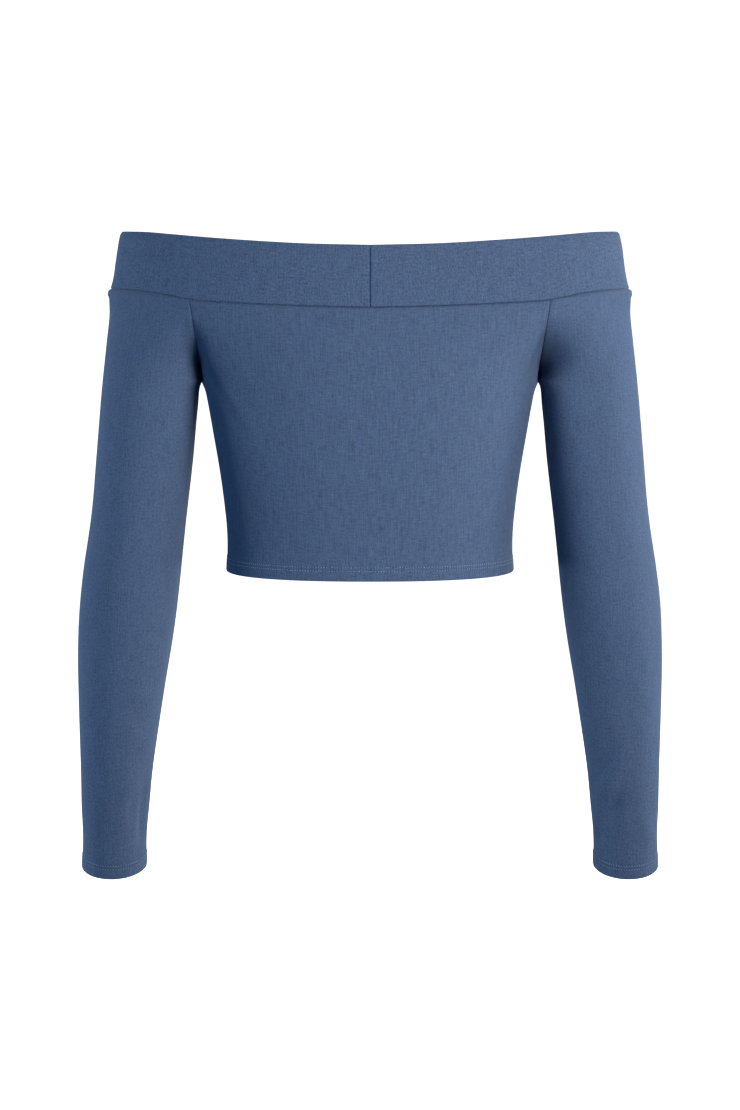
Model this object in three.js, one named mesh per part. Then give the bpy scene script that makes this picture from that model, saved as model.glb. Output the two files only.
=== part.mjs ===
// Off-shoulder top: a cropped jersey top with long sleeves and a folded neck band that runs round
// both upper arms. It stands open, as it does when it is worn.
// Sizes are in millimetres. +X is the wearer's left, +Y the back and +Z up. The origin is the
// centre of the loop of the neck band, half way up the band at the arms.

import * as THREE from 'three';

// Cloth, hems and seams
const CLOTH = 1.2;
const HEM_DEPTH = 14;
const HEM_STEP = 0.3;
const SEAM_GAP = 0.3;
const SEAM_TUCK = 1.4;
const SEAM_TUCK_NEAR = 0.5;
const FOLD_ROUND = 0.85;
const FOLD_SHOULDER = 0.35;

// Levels of the top
const UNDERARM_Z = -108;
const UNDERARM_ROW_MIDDLE_Z = -128;
const HEM_Z = -282;
const CUFF_Z = -565;
const CUFF_TILT = 6.5;
const CUFF_TILT_START_Z = -380;

// Where the armhole meets the neck seam, in degrees round the loop from the centre front or back
const ARMHOLE_ANGLE = 42.5;
const QUARTER_TURN = 90;
const HALF_TURN = 180;

// Numbers of columns of points across each piece
const TORSO_COLUMNS = 22;
const SLEEVE_COLUMNS = 20;

// The rows over which the jersey eases past the underarm, and how often each point moves
const EASE_ROWS_ABOVE = 7;
const EASE_ROWS_BELOW = 5;
const EASE_PASSES = 12;
const EASE_STEP = 0.5;
const EASE_FULL_COLUMN = 5;

const CLOTH_COLOUR = 0x5a6e8e;
const CLOTH_ROUGHNESS = 0.9;

// The neck seam and the folded top edge of the band, by the angle round the loop
const NECK_LOOP = [
  { angle: 0, seamFront: -39.7, seamBack: -42.8, topFront: 13.9, topBack: 10.6 },
  { angle: 15, seamFront: -38.3, seamBack: -41.3, topFront: 15.3, topBack: 12.0 },
  { angle: 30, seamFront: -36.0, seamBack: -38.6, topFront: 18.4, topBack: 15.6 },
  { angle: 42.5, seamFront: -33.4, seamBack: -35.2, topFront: 21.3, topBack: 19.4 },
  { angle: 50, seamFront: -29.4, seamBack: -30.6, topFront: 23.0, topBack: 21.8 },
  { angle: 60, seamFront: -26.0, seamBack: -26.6, topFront: 24.8, topBack: 24.2 },
  { angle: 75, seamFront: -24.8, seamBack: -24.9, topFront: 25.5, topBack: 25.4 },
  { angle: 90, seamFront: -25.2, seamBack: -25.2, topFront: 25.6, topBack: 25.6 },
];

// The band leans in from its seam to its fold: half width and the depths in front and behind
const BAND_SECTIONS = [
  { rise: 0, width: 235.8, front: 106, back: 92 },
  { rise: 0.1, width: 234.2, front: 105.4, back: 91.5 },
  { rise: 0.32, width: 231.8, front: 104, back: 90.4 },
  { rise: 0.54, width: 230.2, front: 102.8, back: 89.4 },
  { rise: 0.76, width: 228.4, front: 101.6, back: 88.5 },
  { rise: 1, width: 225.8, front: 100.4, back: 87.6 },
];

// Rows of the band by their share of its height, with the inset that rounds the fold
const BAND_ROWS = [
  { rise: 0, inset: SEAM_TUCK - 0.2, wall: CLOTH },
  { rise: 0.02, inset: SEAM_TUCK_NEAR, wall: 2 * CLOTH - SEAM_TUCK_NEAR },
  { rise: 0.06, inset: 0, wall: 2 * CLOTH },
  { rise: 0.3, inset: 0, wall: 2 * CLOTH },
  { rise: 0.55, inset: 0, wall: 2 * CLOTH },
  { rise: 0.8, inset: 0, wall: 2 * CLOTH },
  { rise: 0.977, inset: 0, wall: 2 * CLOTH },
  { rise: 0.992, inset: FOLD_SHOULDER, wall: 2 * (CLOTH - FOLD_SHOULDER) },
  { rise: 1, inset: FOLD_ROUND, wall: 2 * (CLOTH - FOLD_ROUND) },
];

// The armhole in front view, and the outermost line of the sleeve over the upper arm
const ARMHOLE = [
  { z: -33.4, x: 159.2 },
  { z: -45.6, x: 157.5 },
  { z: -61.5, x: 155.5 },
  { z: -78.7, x: 153.9 },
  { z: -100.8, x: 152.9 },
  { z: -108, x: 152.8 },
];

const UPPER_ARM_SIDE = [
  { z: -25.2, x: 236.2 },
  { z: -30.5, x: 236.9 },
  { z: -46.8, x: 236.9 },
  { z: -57.7, x: 237.7 },
  { z: -79.5, x: 240.6 },
  { z: -101.3, x: 243.2 },
  { z: -128, x: 245.9 },
];

// Down the armhole, by the turn from the neck seam (0) to the underarm (90): the share of its height
// gone down, the depth of the sleeve's ring in front and behind, and how square the ring's inner side
// is (2 is an ellipse)
const SLEEVE_HEAD = [
  { turn: 0, share: 0, front: 106, back: 92, square: 2 },
  { turn: 7.5, share: 0.022, front: 103.9, back: 90.3, square: 2 },
  { turn: 15, share: 0.055, front: 98.5, back: 85.7, square: 2 },
  { turn: 22.5, share: 0.108, front: 90.7, back: 79.2, square: 2 },
  { turn: 30, share: 0.18, front: 83, back: 72.7, square: 2.05 },
  { turn: 38, share: 0.277, front: 74.5, back: 66.3, square: 2.1 },
  { turn: 47, share: 0.4, front: 67.5, back: 61.5, square: 2.2 },
  { turn: 60, share: 0.6, front: 59.5, back: 56.5, square: 2.5 },
  { turn: 72, share: 0.78, front: 54.3, back: 53, square: 2.9 },
  { turn: 82, share: 0.915, front: 51.1, back: 50.8, square: 3.25 },
  { turn: 90, share: 1, front: 50, back: 50, square: 3.4 },
];

// The sleeve below the underarm: its outer and inner lines, half depth, the centre's set-back and
// how square its inner side is
const SLEEVE_SECTIONS = [
  { z: -108, outer: 243.9, inner: 152.8, depth: 50, centre: 0, square: 3.4 },
  { z: -112, outer: 244.4, inner: 154.8, depth: 50, centre: 0, square: 3.35 },
  { z: -130, outer: 246.1, inner: 157.4, depth: 49.6, centre: 0.4, square: 3.1 },
  { z: -167, outer: 249.3, inner: 161.1, depth: 48.6, centre: 2, square: 2.6 },
  { z: -204, outer: 252.9, inner: 165.3, depth: 47.4, centre: 4, square: 2.2 },
  { z: -242, outer: 257.7, inner: 170.1, depth: 46.6, centre: 6, square: 2.04 },
  { z: -279, outer: 263.8, inner: 174.2, depth: 46.4, centre: 8, square: 2 },
  { z: -316, outer: 268.4, inner: 178.5, depth: 46, centre: 10, square: 2 },
  { z: -354, outer: 270.9, inner: 184.2, depth: 43.6, centre: 12, square: 2 },
  { z: -392, outer: 271.2, inner: 190.9, depth: 40.6, centre: 14, square: 2 },
  { z: -430, outer: 270.9, inner: 197, depth: 38, centre: 15.6, square: 2 },
  { z: -468, outer: 270.4, inner: 202.8, depth: 35.6, centre: 17.2, square: 2 },
  { z: -507, outer: 270.2, inner: 207, depth: 33.4, centre: 18.6, square: 2 },
  { z: -545, outer: 269.6, inner: 210.3, depth: 31.8, centre: 20, square: 2 },
  { z: -557, outer: 270.4, inner: 210.1, depth: 31.9, centre: 20.4, square: 2 },
  { z: -572, outer: 270.5, inner: 210.8, depth: 31.6, centre: 21, square: 2 },
];

// The body: half width of the side seams, depths at the centre, and how square the section is
const BODY_SECTIONS = [
  { z: -39.7, side: 152.8, front: 106, back: 92, square: 2 },
  { z: -70, side: 152.8, front: 108.8, back: 93.6, square: 2.12 },
  { z: -108, side: 152.8, front: 110.8, back: 94, square: 2.36 },
  { z: -112, side: 151.1, front: 110.8, back: 94, square: 2.38 },
  { z: -130, side: 147.2, front: 110.4, back: 93.3, square: 2.44 },
  { z: -149, side: 144.0, front: 109, back: 92, square: 2.46 },
  { z: -186, side: 137.9, front: 105, back: 89, square: 2.44 },
  { z: -222, side: 133.2, front: 100, back: 87, square: 2.4 },
  { z: -259, side: 130.7, front: 96, back: 86.5, square: 2.36 },
  { z: -282, side: 131.8, front: 95, back: 87, square: 2.34 },
];

// Rows from the neck seam to the underarm, in degrees of turn down the armhole
const ARMHOLE_ROWS = [
  { turn: 0, inset: SEAM_TUCK },
  { turn: 2.5, inset: SEAM_TUCK_NEAR },
  { turn: 6.5, inset: 0 },
  { turn: 14, inset: 0 },
  { turn: 23, inset: 0 },
  { turn: 32, inset: 0 },
  { turn: 41, inset: 0 },
  { turn: 50, inset: 0 },
  { turn: 58, inset: 0 },
  { turn: 66, inset: 0 },
  { turn: 73, inset: 0 },
  { turn: 80, inset: 0 },
  { turn: 86, inset: 0 },
  { turn: 90, inset: 0 },
];

// Rows below the underarm, by the share of the way down to the top of the hem
const BODY_SHARES = [0.012, 0.045, 0.1, 0.18, 0.3, 0.44, 0.58, 0.72, 0.86];
const SLEEVE_SHARES = [0.004, 0.016, 0.04, 0.08, 0.14, 0.21, 0.28, 0.35, 0.42, 0.49, 0.56, 0.63, 0.7, 0.77,
  0.84, 0.9, 0.95];

// Soft folds on the sleeves: height, place round the arm from its outermost line (minus is the front),
// reach along and across, lean, and rise (minus is a trough)
const SLEEVE_FOLDS = [
  { side: 1, z: -300, around: -60, along: 34, across: 26, lean: 0.5, rise: -1.2 },
  { side: 1, z: -505, around: -130, along: 24, across: 20, lean: -0.5, rise: -2.2 },
  { side: 1, z: -520, around: -60, along: 18, across: 24, lean: 0.6, rise: 1.4 },
  { side: 1, z: -455, around: 70, along: 26, across: 26, lean: 0.7, rise: -1.6 },
  { side: 1, z: -340, around: 95, along: 30, across: 26, lean: -0.6, rise: -1.8 },
  { side: 1, z: -312, around: 110, along: 26, across: 22, lean: -0.6, rise: 1.3 },
  { side: -1, z: -315, around: -70, along: 30, across: 26, lean: 0.6, rise: -1.2 },
  { side: -1, z: -400, around: -140, along: 22, across: 22, lean: -0.6, rise: 1.6 },
  { side: -1, z: -430, around: -120, along: 20, across: 22, lean: -0.6, rise: -1.5 },
  { side: -1, z: -515, around: -55, along: 20, across: 22, lean: 0.5, rise: 1.4 },
  { side: -1, z: -470, around: 85, along: 28, across: 26, lean: 0.7, rise: -1.7 },
  { side: -1, z: -330, around: 100, along: 32, across: 24, lean: -0.6, rise: -1.8 },
];

const radians = THREE.MathUtils.degToRad;
const degrees = THREE.MathUtils.radToDeg;
const lerp = THREE.MathUtils.lerp;

// A smooth curve through one column of a table, held level past its ends
function tableCurve(table, key, column) {
  const rows = [...table].sort((a, b) => a[key] - b[key]);
  const at = rows.map((row) => row[key]);
  const value = rows.map((row) => row[column]);
  const last = at.length - 1;
  const rate = (i) => (value[i + 1] - value[i]) / (at[i + 1] - at[i]);
  const slope = at.map((_, i) => {
    if (i === 0) return rate(0);
    if (i === last) return rate(last - 1);
    const before = at[i] - at[i - 1];
    const after = at[i + 1] - at[i];
    return (rate(i - 1) * after + rate(i) * before) / (before + after);
  });
  return (x) => {
    if (x <= at[0]) return value[0];
    if (x >= at[last]) return value[last];
    const i = at.findIndex((edge) => edge > x) - 1;
    const span = at[i + 1] - at[i];
    const t = (x - at[i]) / span;
    const rise = value[i + 1] - value[i];
    const bendIn = slope[i] * span - rise;
    const bendOut = rise - slope[i + 1] * span;
    return value[i] + t * rise + t * (1 - t) * (bendIn * (1 - t) + bendOut * t);
  };
}

const seamHeight = {
  front: tableCurve(NECK_LOOP, 'angle', 'seamFront'),
  back: tableCurve(NECK_LOOP, 'angle', 'seamBack'),
};
const topHeight = {
  front: tableCurve(NECK_LOOP, 'angle', 'topFront'),
  back: tableCurve(NECK_LOOP, 'angle', 'topBack'),
};
const bandWidth = tableCurve(BAND_SECTIONS, 'rise', 'width');
const bandDepth = {
  front: tableCurve(BAND_SECTIONS, 'rise', 'front'),
  back: tableCurve(BAND_SECTIONS, 'rise', 'back'),
};
const armholeX = tableCurve(ARMHOLE, 'z', 'x');
const upperArmX = tableCurve(UPPER_ARM_SIDE, 'z', 'x');
const headShare = tableCurve(SLEEVE_HEAD, 'turn', 'share');
const headDepth = {
  front: tableCurve(SLEEVE_HEAD, 'turn', 'front'),
  back: tableCurve(SLEEVE_HEAD, 'turn', 'back'),
};
const headSquare = tableCurve(SLEEVE_HEAD, 'turn', 'square');
const sleeveOuter = tableCurve(SLEEVE_SECTIONS, 'z', 'outer');
const sleeveInner = tableCurve(SLEEVE_SECTIONS, 'z', 'inner');
const sleeveDepth = tableCurve(SLEEVE_SECTIONS, 'z', 'depth');
const sleeveCentre = tableCurve(SLEEVE_SECTIONS, 'z', 'centre');
const sleeveSquare = tableCurve(SLEEVE_SECTIONS, 'z', 'square');
const bodySide = tableCurve(BODY_SECTIONS, 'z', 'side');
const bodyDepth = {
  front: tableCurve(BODY_SECTIONS, 'z', 'front'),
  back: tableCurve(BODY_SECTIONS, 'z', 'back'),
};
const bodySquare = tableCurve(BODY_SECTIONS, 'z', 'square');

// Share of the depth that a section has left at a share of its half width, and the other way round.
// A power of 2 gives an ellipse, and a higher one a squarer section.
function sectionShare(share, square) {
  return (1 - Math.min(Math.abs(share), 1) ** square) ** (1 / square);
}

// The armhole edge at a turn of 0 (neck seam) to 90 degrees (underarm). The ring of the sleeve opens
// from a full turn at the underarm to the arc that the neck seam takes over the arm.
function armholeEdge(turn, face) {
  const topZ = seamHeight[face](ARMHOLE_ANGLE);
  const z = lerp(topZ, UNDERARM_Z, headShare(turn));
  const wrap = HALF_TURN - (QUARTER_TURN + ARMHOLE_ANGLE) * Math.cos(radians(turn));
  const depth = headDepth[face](turn);
  const y = Math.max(depth * Math.sin(radians(wrap)), SEAM_GAP / 2);
  return ringEdge({ x: armholeX(z), y, z, depth, square: headSquare(turn) }, wrap);
}

// The edge of a sleeve's ring with the angle round the ring at which it lies. Past the quarter turn
// the ring is on its inner side, which may be square.
function ringEdge(edge, wrap) {
  if (wrap <= QUARTER_TURN) return { ...edge, wrap };
  const cosine = -sectionShare(edge.y / edge.depth, edge.square);
  return { ...edge, wrap: degrees(Math.acos(cosine)) };
}

// How far down the middle of a row has come when its edge is at a turn of the armhole
function middleShare(turn) {
  return (headShare(turn) + turn / QUARTER_TURN) / 2;
}

// The rows of a piece from the neck seam down: an edge row for each turn of the armhole, then levels
// down to the hem, with the turned-up layer begun over a short step
function levelsBelow(shares, bottomZ) {
  const hemTop = HEM_DEPTH + HEM_STEP;
  const rows = shares.map((share) => ({ share, wall: CLOTH }));
  rows.push({ share: 1, wall: CLOTH });
  const span = Math.abs(bottomZ) - Math.abs(UNDERARM_Z) - hemTop;
  rows.push({ share: 1 + HEM_STEP / span, wall: 2 * CLOTH });
  rows.push({ share: 1 + hemTop / 2 / span, wall: 2 * CLOTH });
  rows.push({ share: 1 + hemTop / span, wall: 2 * CLOTH });
  return rows;
}

// Height of a row between its edge and its middle. The neck seam's own curve fades down the armhole.
function rowHeight(edgeZ, middleZ, share, seamShare, seamDeparture) {
  return lerp(edgeZ, middleZ, share) + seamShare * seamDeparture;
}

// The front or the back panel: rings between the armholes, then between the side seams
function bodyGrid(face) {
  const sign = face === 'front' ? -1 : 1;
  const seam = seamHeight[face];
  const hemSpan = UNDERARM_Z - HEM_Z - HEM_DEPTH - HEM_STEP;
  const middleSpan = UNDERARM_ROW_MIDDLE_Z - HEM_Z - HEM_DEPTH - HEM_STEP;
  const upper = ARMHOLE_ROWS.map(({ turn, inset }) => {
    const edge = armholeEdge(turn, face);
    const middleZ = lerp(seam(0), UNDERARM_ROW_MIDDLE_Z, middleShare(turn));
    return { ...edge, middleZ, fade: 1 - turn / QUARTER_TURN, inset, wall: CLOTH };
  });
  const lower = levelsBelow(BODY_SHARES, HEM_Z).map(({ share, wall }) => {
    const z = UNDERARM_Z - hemSpan * share;
    const middleZ = share < 1 ? UNDERARM_ROW_MIDDLE_Z - middleSpan * share : z;
    return { x: bodySide(z), y: SEAM_GAP / 2, z, middleZ, fade: 0, inset: 0, wall };
  });
  const rows = [...upper, ...lower];
  const grid = rows.map((row) => {
    const depth = bodyDepth[face](row.middleZ);
    const square = bodySquare(row.middleZ);
    const sideShare = sectionShare(row.y / depth, square);
    const reach = Math.asin(sideShare);
    const halfWidth = (row.x - SEAM_GAP / 2) / sideShare;
    return Array.from({ length: TORSO_COLUMNS + 1 }, (_, column) => {
      const across = (2 * column) / TORSO_COLUMNS - 1;
      const angle = across * reach;
      const share = (Math.cos(angle) - Math.cos(reach)) / (1 - Math.cos(reach));
      const seamZ = seam(Math.abs(across) * ARMHOLE_ANGLE);
      const departure = seamZ - lerp(seam(ARMHOLE_ANGLE), seam(0), share);
      const z = rowHeight(row.z, row.middleZ, share, row.fade, departure);
      const y = sign * depth * sectionShare(Math.sin(angle), square);
      return new THREE.Vector3(halfWidth * Math.sin(angle), y, z - row.fade * SEAM_GAP / 2);
    });
  });
  return { grid: easeUnderarm(grid), rows };
}

// The jersey eases over the level of the underarm: again and again each point but those at the seams
// moves towards the line between its neighbours up and down the piece, less so beside the seams
function easeUnderarm(grid) {
  const underarm = ARMHOLE_ROWS.length - 1;
  for (let pass = 0; pass < EASE_PASSES; pass += 1) {
    const still = grid.map((row) => row.map((point) => point.clone()));
    for (let r = underarm - EASE_ROWS_ABOVE; r <= underarm + EASE_ROWS_BELOW; r += 1) {
      for (let c = 1; c < grid[r].length - 1; c += 1) {
        const above = still[r - 1][c];
        const below = still[r + 1][c];
        const up = above.distanceTo(still[r][c]);
        const down = below.distanceTo(still[r][c]);
        const fromSeam = Math.min(c, grid[r].length - 1 - c) / EASE_FULL_COLUMN;
        const step = EASE_STEP * Math.min(fromSeam, 1) ** 2;
        grid[r][c].lerp(above.clone().lerp(below, up / (up + down)), step);
      }
    }
  }
  return grid;
}

// How far a sleeve stands out of its plain form at a place, summed over the soft folds
function foldRise(side, z, around, radius) {
  return SLEEVE_FOLDS.filter((fold) => fold.side === side).reduce((sum, fold) => {
    const along = z - fold.z;
    const across = radians(around - fold.around) * radius - fold.lean * along;
    return sum + fold.rise * Math.exp(-((along / fold.along) ** 2) - (across / fold.across) ** 2);
  }, 0);
}

// A sleeve: arcs of rings over the arm down to the underarm, then whole rings down to the cuff
function sleeveGrid(side) {
  const cuffSpan = UNDERARM_Z - CUFF_Z - HEM_DEPTH - HEM_STEP;
  const outerSpan = UNDERARM_ROW_MIDDLE_Z - CUFF_Z - HEM_DEPTH - HEM_STEP;
  const upper = ARMHOLE_ROWS.map(({ turn, inset }) => ({
    front: armholeEdge(turn, 'front'),
    back: armholeEdge(turn, 'back'),
    outerZ: lerp(seamHeight.front(QUARTER_TURN), UNDERARM_ROW_MIDDLE_Z, middleShare(turn)),
    fade: 1 - turn / QUARTER_TURN,
    centre: 0,
    inset,
    wall: CLOTH,
  }));
  const lower = levelsBelow(SLEEVE_SHARES, CUFF_Z).map(({ share, wall }) => {
    const z = UNDERARM_Z - cuffSpan * share;
    const outerZ = share < 1 ? UNDERARM_ROW_MIDDLE_Z - outerSpan * share : z;
    const middleZ = (z + outerZ) / 2;
    const depth = sleeveDepth(middleZ);
    const plain = { x: sleeveInner(z), y: SEAM_GAP / 2, z, depth, square: sleeveSquare(middleZ) };
    const edge = ringEdge(plain, HALF_TURN);
    return { front: edge, back: edge, outerZ, fade: 0, centre: sleeveCentre(middleZ), inset: 0, wall };
  });
  const rows = [...upper, ...lower];
  const grid = rows.map((row) => {
    const outerX = row.outerZ > UNDERARM_ROW_MIDDLE_Z ? upperArmX(row.outerZ) : sleeveOuter(row.outerZ);
    return Array.from({ length: SLEEVE_COLUMNS + 1 }, (_, column) => {
      const across = (2 * column) / SLEEVE_COLUMNS - 1;
      const face = across < 0 ? 'front' : 'back';
      const { x: edgeX, z: edgeZ, depth, wrap, square } = row[face];
      const around = across * wrap;
      const wrapCosine = Math.cos(radians(wrap));
      const halfWidth = (outerX - edgeX - SEAM_GAP / 2) / (1 - wrapCosine);
      const share = (Math.cos(radians(around)) - wrapCosine) / (1 - wrapCosine);
      const seam = seamHeight[face];
      const seamZ = seam(QUARTER_TURN - Math.abs(across) * (QUARTER_TURN - ARMHOLE_ANGLE));
      const departure = seamZ - lerp(seam(ARMHOLE_ANGLE), seam(QUARTER_TURN), share);
      const tiltShare = THREE.MathUtils.smoothstep(-edgeZ, -CUFF_TILT_START_Z, -CUFF_Z);
      const z = rowHeight(edgeZ, row.outerZ, share, row.fade, departure)
        + tiltShare * CUFF_TILT * Math.sin(radians(around));
      const rise = foldRise(side, z, around, halfWidth);
      const cosine = Math.cos(radians(around));
      const sine = Math.sin(radians(around));
      const depthShare = cosine < 0 ? Math.sign(sine) * sectionShare(cosine, square) : sine;
      const x = outerX - halfWidth + (halfWidth + rise) * cosine;
      const y = row.centre + (depth + rise) * depthShare;
      return new THREE.Vector3(side * x, y, z - row.fade * SEAM_GAP / 2);
    });
  });
  return { grid: easeUnderarm(grid), rows };
}

// Stations round the neck loop, the same as the columns of the body and the sleeves at the seam
function loopStations() {
  const bodySteps = TORSO_COLUMNS / 2;
  const sleeveSteps = SLEEVE_COLUMNS / 2;
  const quarter = [];
  for (let i = 0; i < bodySteps; i += 1) quarter.push((ARMHOLE_ANGLE * i) / bodySteps);
  for (let i = 0; i < sleeveSteps; i += 1) {
    quarter.push(lerp(ARMHOLE_ANGLE, QUARTER_TURN, i / sleeveSteps));
  }
  const half = [...quarter, QUARTER_TURN, ...quarter.slice(1).reverse().map((turn) => HALF_TURN - turn)];
  const whole = [...half, ...half.map((turn) => HALF_TURN + turn), 2 * HALF_TURN];
  const gapAngle = degrees(SEAM_GAP / 2 / bandWidth(0));
  whole[0] = gapAngle;
  whole[whole.length - 1] = 2 * HALF_TURN - gapAngle;
  return whole;
}

// The neck band: an upright strip round the loop, from one side of the centre front seam to the other
function bandGrid() {
  const rows = BAND_ROWS;
  const stations = loopStations();
  const grid = rows.map(({ rise }) => (
    stations.map((turn) => {
      const cosine = Math.cos(radians(turn));
      const face = cosine > 0 ? 'front' : 'back';
      const fromCentre = degrees(Math.acos(Math.abs(cosine)));
      const bottomZ = seamHeight[face](fromCentre) + SEAM_GAP / 2;
      const z = lerp(bottomZ, topHeight[face](fromCentre), rise);
      const depth = bandDepth[face](rise);
      return new THREE.Vector3(bandWidth(rise) * Math.sin(radians(turn)), -depth * cosine, z);
    })
  ));
  return { grid, rows };
}

// Direction along a row at a point. At the ends it allows for the bend of the first two steps.
function directionAcross(row, c) {
  const last = row.length - 1;
  if (c > 0 && c < last) return new THREE.Vector3().subVectors(row[c + 1], row[c - 1]);
  const inward = c === 0 ? 1 : -1;
  const near = row[c + inward].clone().sub(row[c]);
  const far = row[c + 2 * inward].clone().sub(row[c]);
  return near.multiplyScalar(2 * inward).addScaledVector(far, -inward / 2);
}

// Directions out of a grid of points, from the differences along its rows and columns
function gridNormals(grid, turned) {
  return grid.map((row, r) => row.map((_, c) => {
    const above = grid[Math.max(r - 1, 0)][c];
    const below = grid[Math.min(r + 1, grid.length - 1)][c];
    const down = new THREE.Vector3().subVectors(below, above);
    const across = directionAcross(row, c);
    return down.cross(across).multiplyScalar(turned).normalize();
  }));
}

// A closed wall of cloth: the outer points, the inner ones set in by the wall, and the four rims
function panelWall({ grid, rows }, turned, normals) {
  const columns = grid[0].length;
  const count = grid.length * columns;
  const positions = [];
  const addLayer = (depthOf) => grid.forEach((row, r) => row.forEach((point, c) => {
    positions.push(...point.clone().addScaledVector(normals[r][c], -depthOf(rows[r])).toArray());
  }));
  addLayer((row) => row.inset);
  addLayer((row) => row.inset + row.wall);
  const indices = [];
  const addTriangle = (a, b, c) => {
    if (turned > 0) indices.push(a, b, c);
    else indices.push(a, c, b);
  };
  for (let r = 0; r < grid.length - 1; r += 1) {
    for (let c = 0; c < columns - 1; c += 1) {
      const a = r * columns + c;
      const b = a + columns;
      addTriangle(a, b, a + 1);
      addTriangle(b, b + 1, a + 1);
      addTriangle(count + a, count + a + 1, count + b);
      addTriangle(count + b, count + a + 1, count + b + 1);
    }
  }
  const lastRow = grid.length - 1;
  const lastColumn = columns - 1;
  const loop = [];
  for (let r = 0; r < lastRow; r += 1) loop.push(r * columns);
  for (let c = 0; c < lastColumn; c += 1) loop.push(lastRow * columns + c);
  for (let r = lastRow; r > 0; r -= 1) loop.push(r * columns + lastColumn);
  for (let c = lastColumn; c > 0; c -= 1) loop.push(c);
  loop.forEach((a, i) => {
    const b = loop[(i + 1) % loop.length];
    addTriangle(a, count + a, b);
    addTriangle(count + a, count + b, b);
  });
  const geometry = new THREE.BufferGeometry();
  geometry.setAttribute('position', new THREE.Float32BufferAttribute(positions, 3));
  geometry.setIndex(indices);
  geometry.computeVertexNormals();
  return geometry;
}

// At the neck seam the cloth stands upright, so the band and the pieces below it meet rim to rim
function levelSeamNormals(normals) {
  normals[0].forEach((normal) => normal.setZ(0).normalize());
}

// At the side seams and the underarm seam both edges face the same way, straight out of the seam
function squareSeamNormals(normals, firstRow) {
  normals.slice(firstRow).forEach((row) => {
    [row[0], row[row.length - 1]].forEach((normal) => normal.setY(0).normalize());
  });
}

function clothMesh(name, piece, turned, seamRow) {
  const normals = gridNormals(piece.grid, turned);
  levelSeamNormals(normals);
  if (seamRow !== undefined) squareSeamNormals(normals, seamRow);
  const material = new THREE.MeshStandardMaterial({
    color: CLOTH_COLOUR,
    roughness: CLOTH_ROUGHNESS,
    metalness: 0,
    side: THREE.DoubleSide,
  });
  const mesh = new THREE.Mesh(panelWall(piece, turned, normals), material);
  mesh.name = name;
  return mesh;
}

const underarmRow = ARMHOLE_ROWS.length - 1;
const top = new THREE.Group();
top.name = 'off_shoulder_top';
top.add(clothMesh('neck_band', bandGrid(), -1));
top.add(clothMesh('front', bodyGrid('front'), 1, underarmRow));
top.add(clothMesh('back', bodyGrid('back'), -1, underarmRow));
top.add(clothMesh('sleeve_left', sleeveGrid(1), 1, underarmRow));
top.add(clothMesh('sleeve_right', sleeveGrid(-1), -1, underarmRow));

export default top;
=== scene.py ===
# %% [markdown]
# # An off-shoulder top in stretch jersey
#
# The top is cut from one soft jersey: a front, a back, two long sleeves and a doubled neck band
# that grips both upper arms. It stands open here, as it does when it is worn. This lesson builds
# each cut piece as a thin shell of cloth on its own solid, and then adds what a needle does to it:
# seams that roll in, allowances that show through as ridges, turned-up hems and rows of stitches.
#
# Sizes are in millimetres until a mesh is made, because that is how a maker measures. +X is the
# wearer's left, +Y the back and +Z up.

import bpy
import numpy as np
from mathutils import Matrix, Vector


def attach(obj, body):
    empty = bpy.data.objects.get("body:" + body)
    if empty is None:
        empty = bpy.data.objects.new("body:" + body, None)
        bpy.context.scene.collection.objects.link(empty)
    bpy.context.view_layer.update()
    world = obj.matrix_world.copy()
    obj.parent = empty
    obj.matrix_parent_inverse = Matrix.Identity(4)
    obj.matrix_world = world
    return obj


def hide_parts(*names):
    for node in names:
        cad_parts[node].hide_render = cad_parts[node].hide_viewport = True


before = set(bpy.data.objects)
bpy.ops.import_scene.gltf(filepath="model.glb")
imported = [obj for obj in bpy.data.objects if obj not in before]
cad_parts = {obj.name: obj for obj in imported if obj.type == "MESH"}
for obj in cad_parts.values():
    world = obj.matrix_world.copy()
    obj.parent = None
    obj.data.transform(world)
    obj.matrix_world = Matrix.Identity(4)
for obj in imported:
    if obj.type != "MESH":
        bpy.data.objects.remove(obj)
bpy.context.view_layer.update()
MM = 0.001
print("solids:", sorted(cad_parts))

# %% [markdown]
# ## The sizes of the top
#
# A garment has few driving sizes. The neck loop is measured by the angle round the body from the
# centre front, the body and the sleeves by the height at which a section is taken. Each table has
# named columns, and a smooth curve through a column gives the value in between.
# In the tables seam is the height of the neck seam and top that of the band's folded edge. The square
# of a section is the power of its curve: 2 for an ellipse, and more for a squarer one. The turn of an
# armhole runs from 0 at the neck seam to 90 at the underarm.

# %% Levels, seams and hems
CLOTH = 1.2
SEAM_GAP = 0.02
ARMHOLE_LAP = 0.2
UNDERARM_Z = -108.0
UNDERARM_ROW_MIDDLE_Z = -128.0
HEM_Z = -282.0
CUFF_Z = -565.0
CUFF_TILT = 6.5
CUFF_TILT_START_Z = -380.0
HEM_DEPTH = 14.0
ARMHOLE_ANGLE = 42.5
print(f"underarm to hem {UNDERARM_Z - HEM_Z:.0f} mm, underarm to cuff {UNDERARM_Z - CUFF_Z:.0f} mm")

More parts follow.
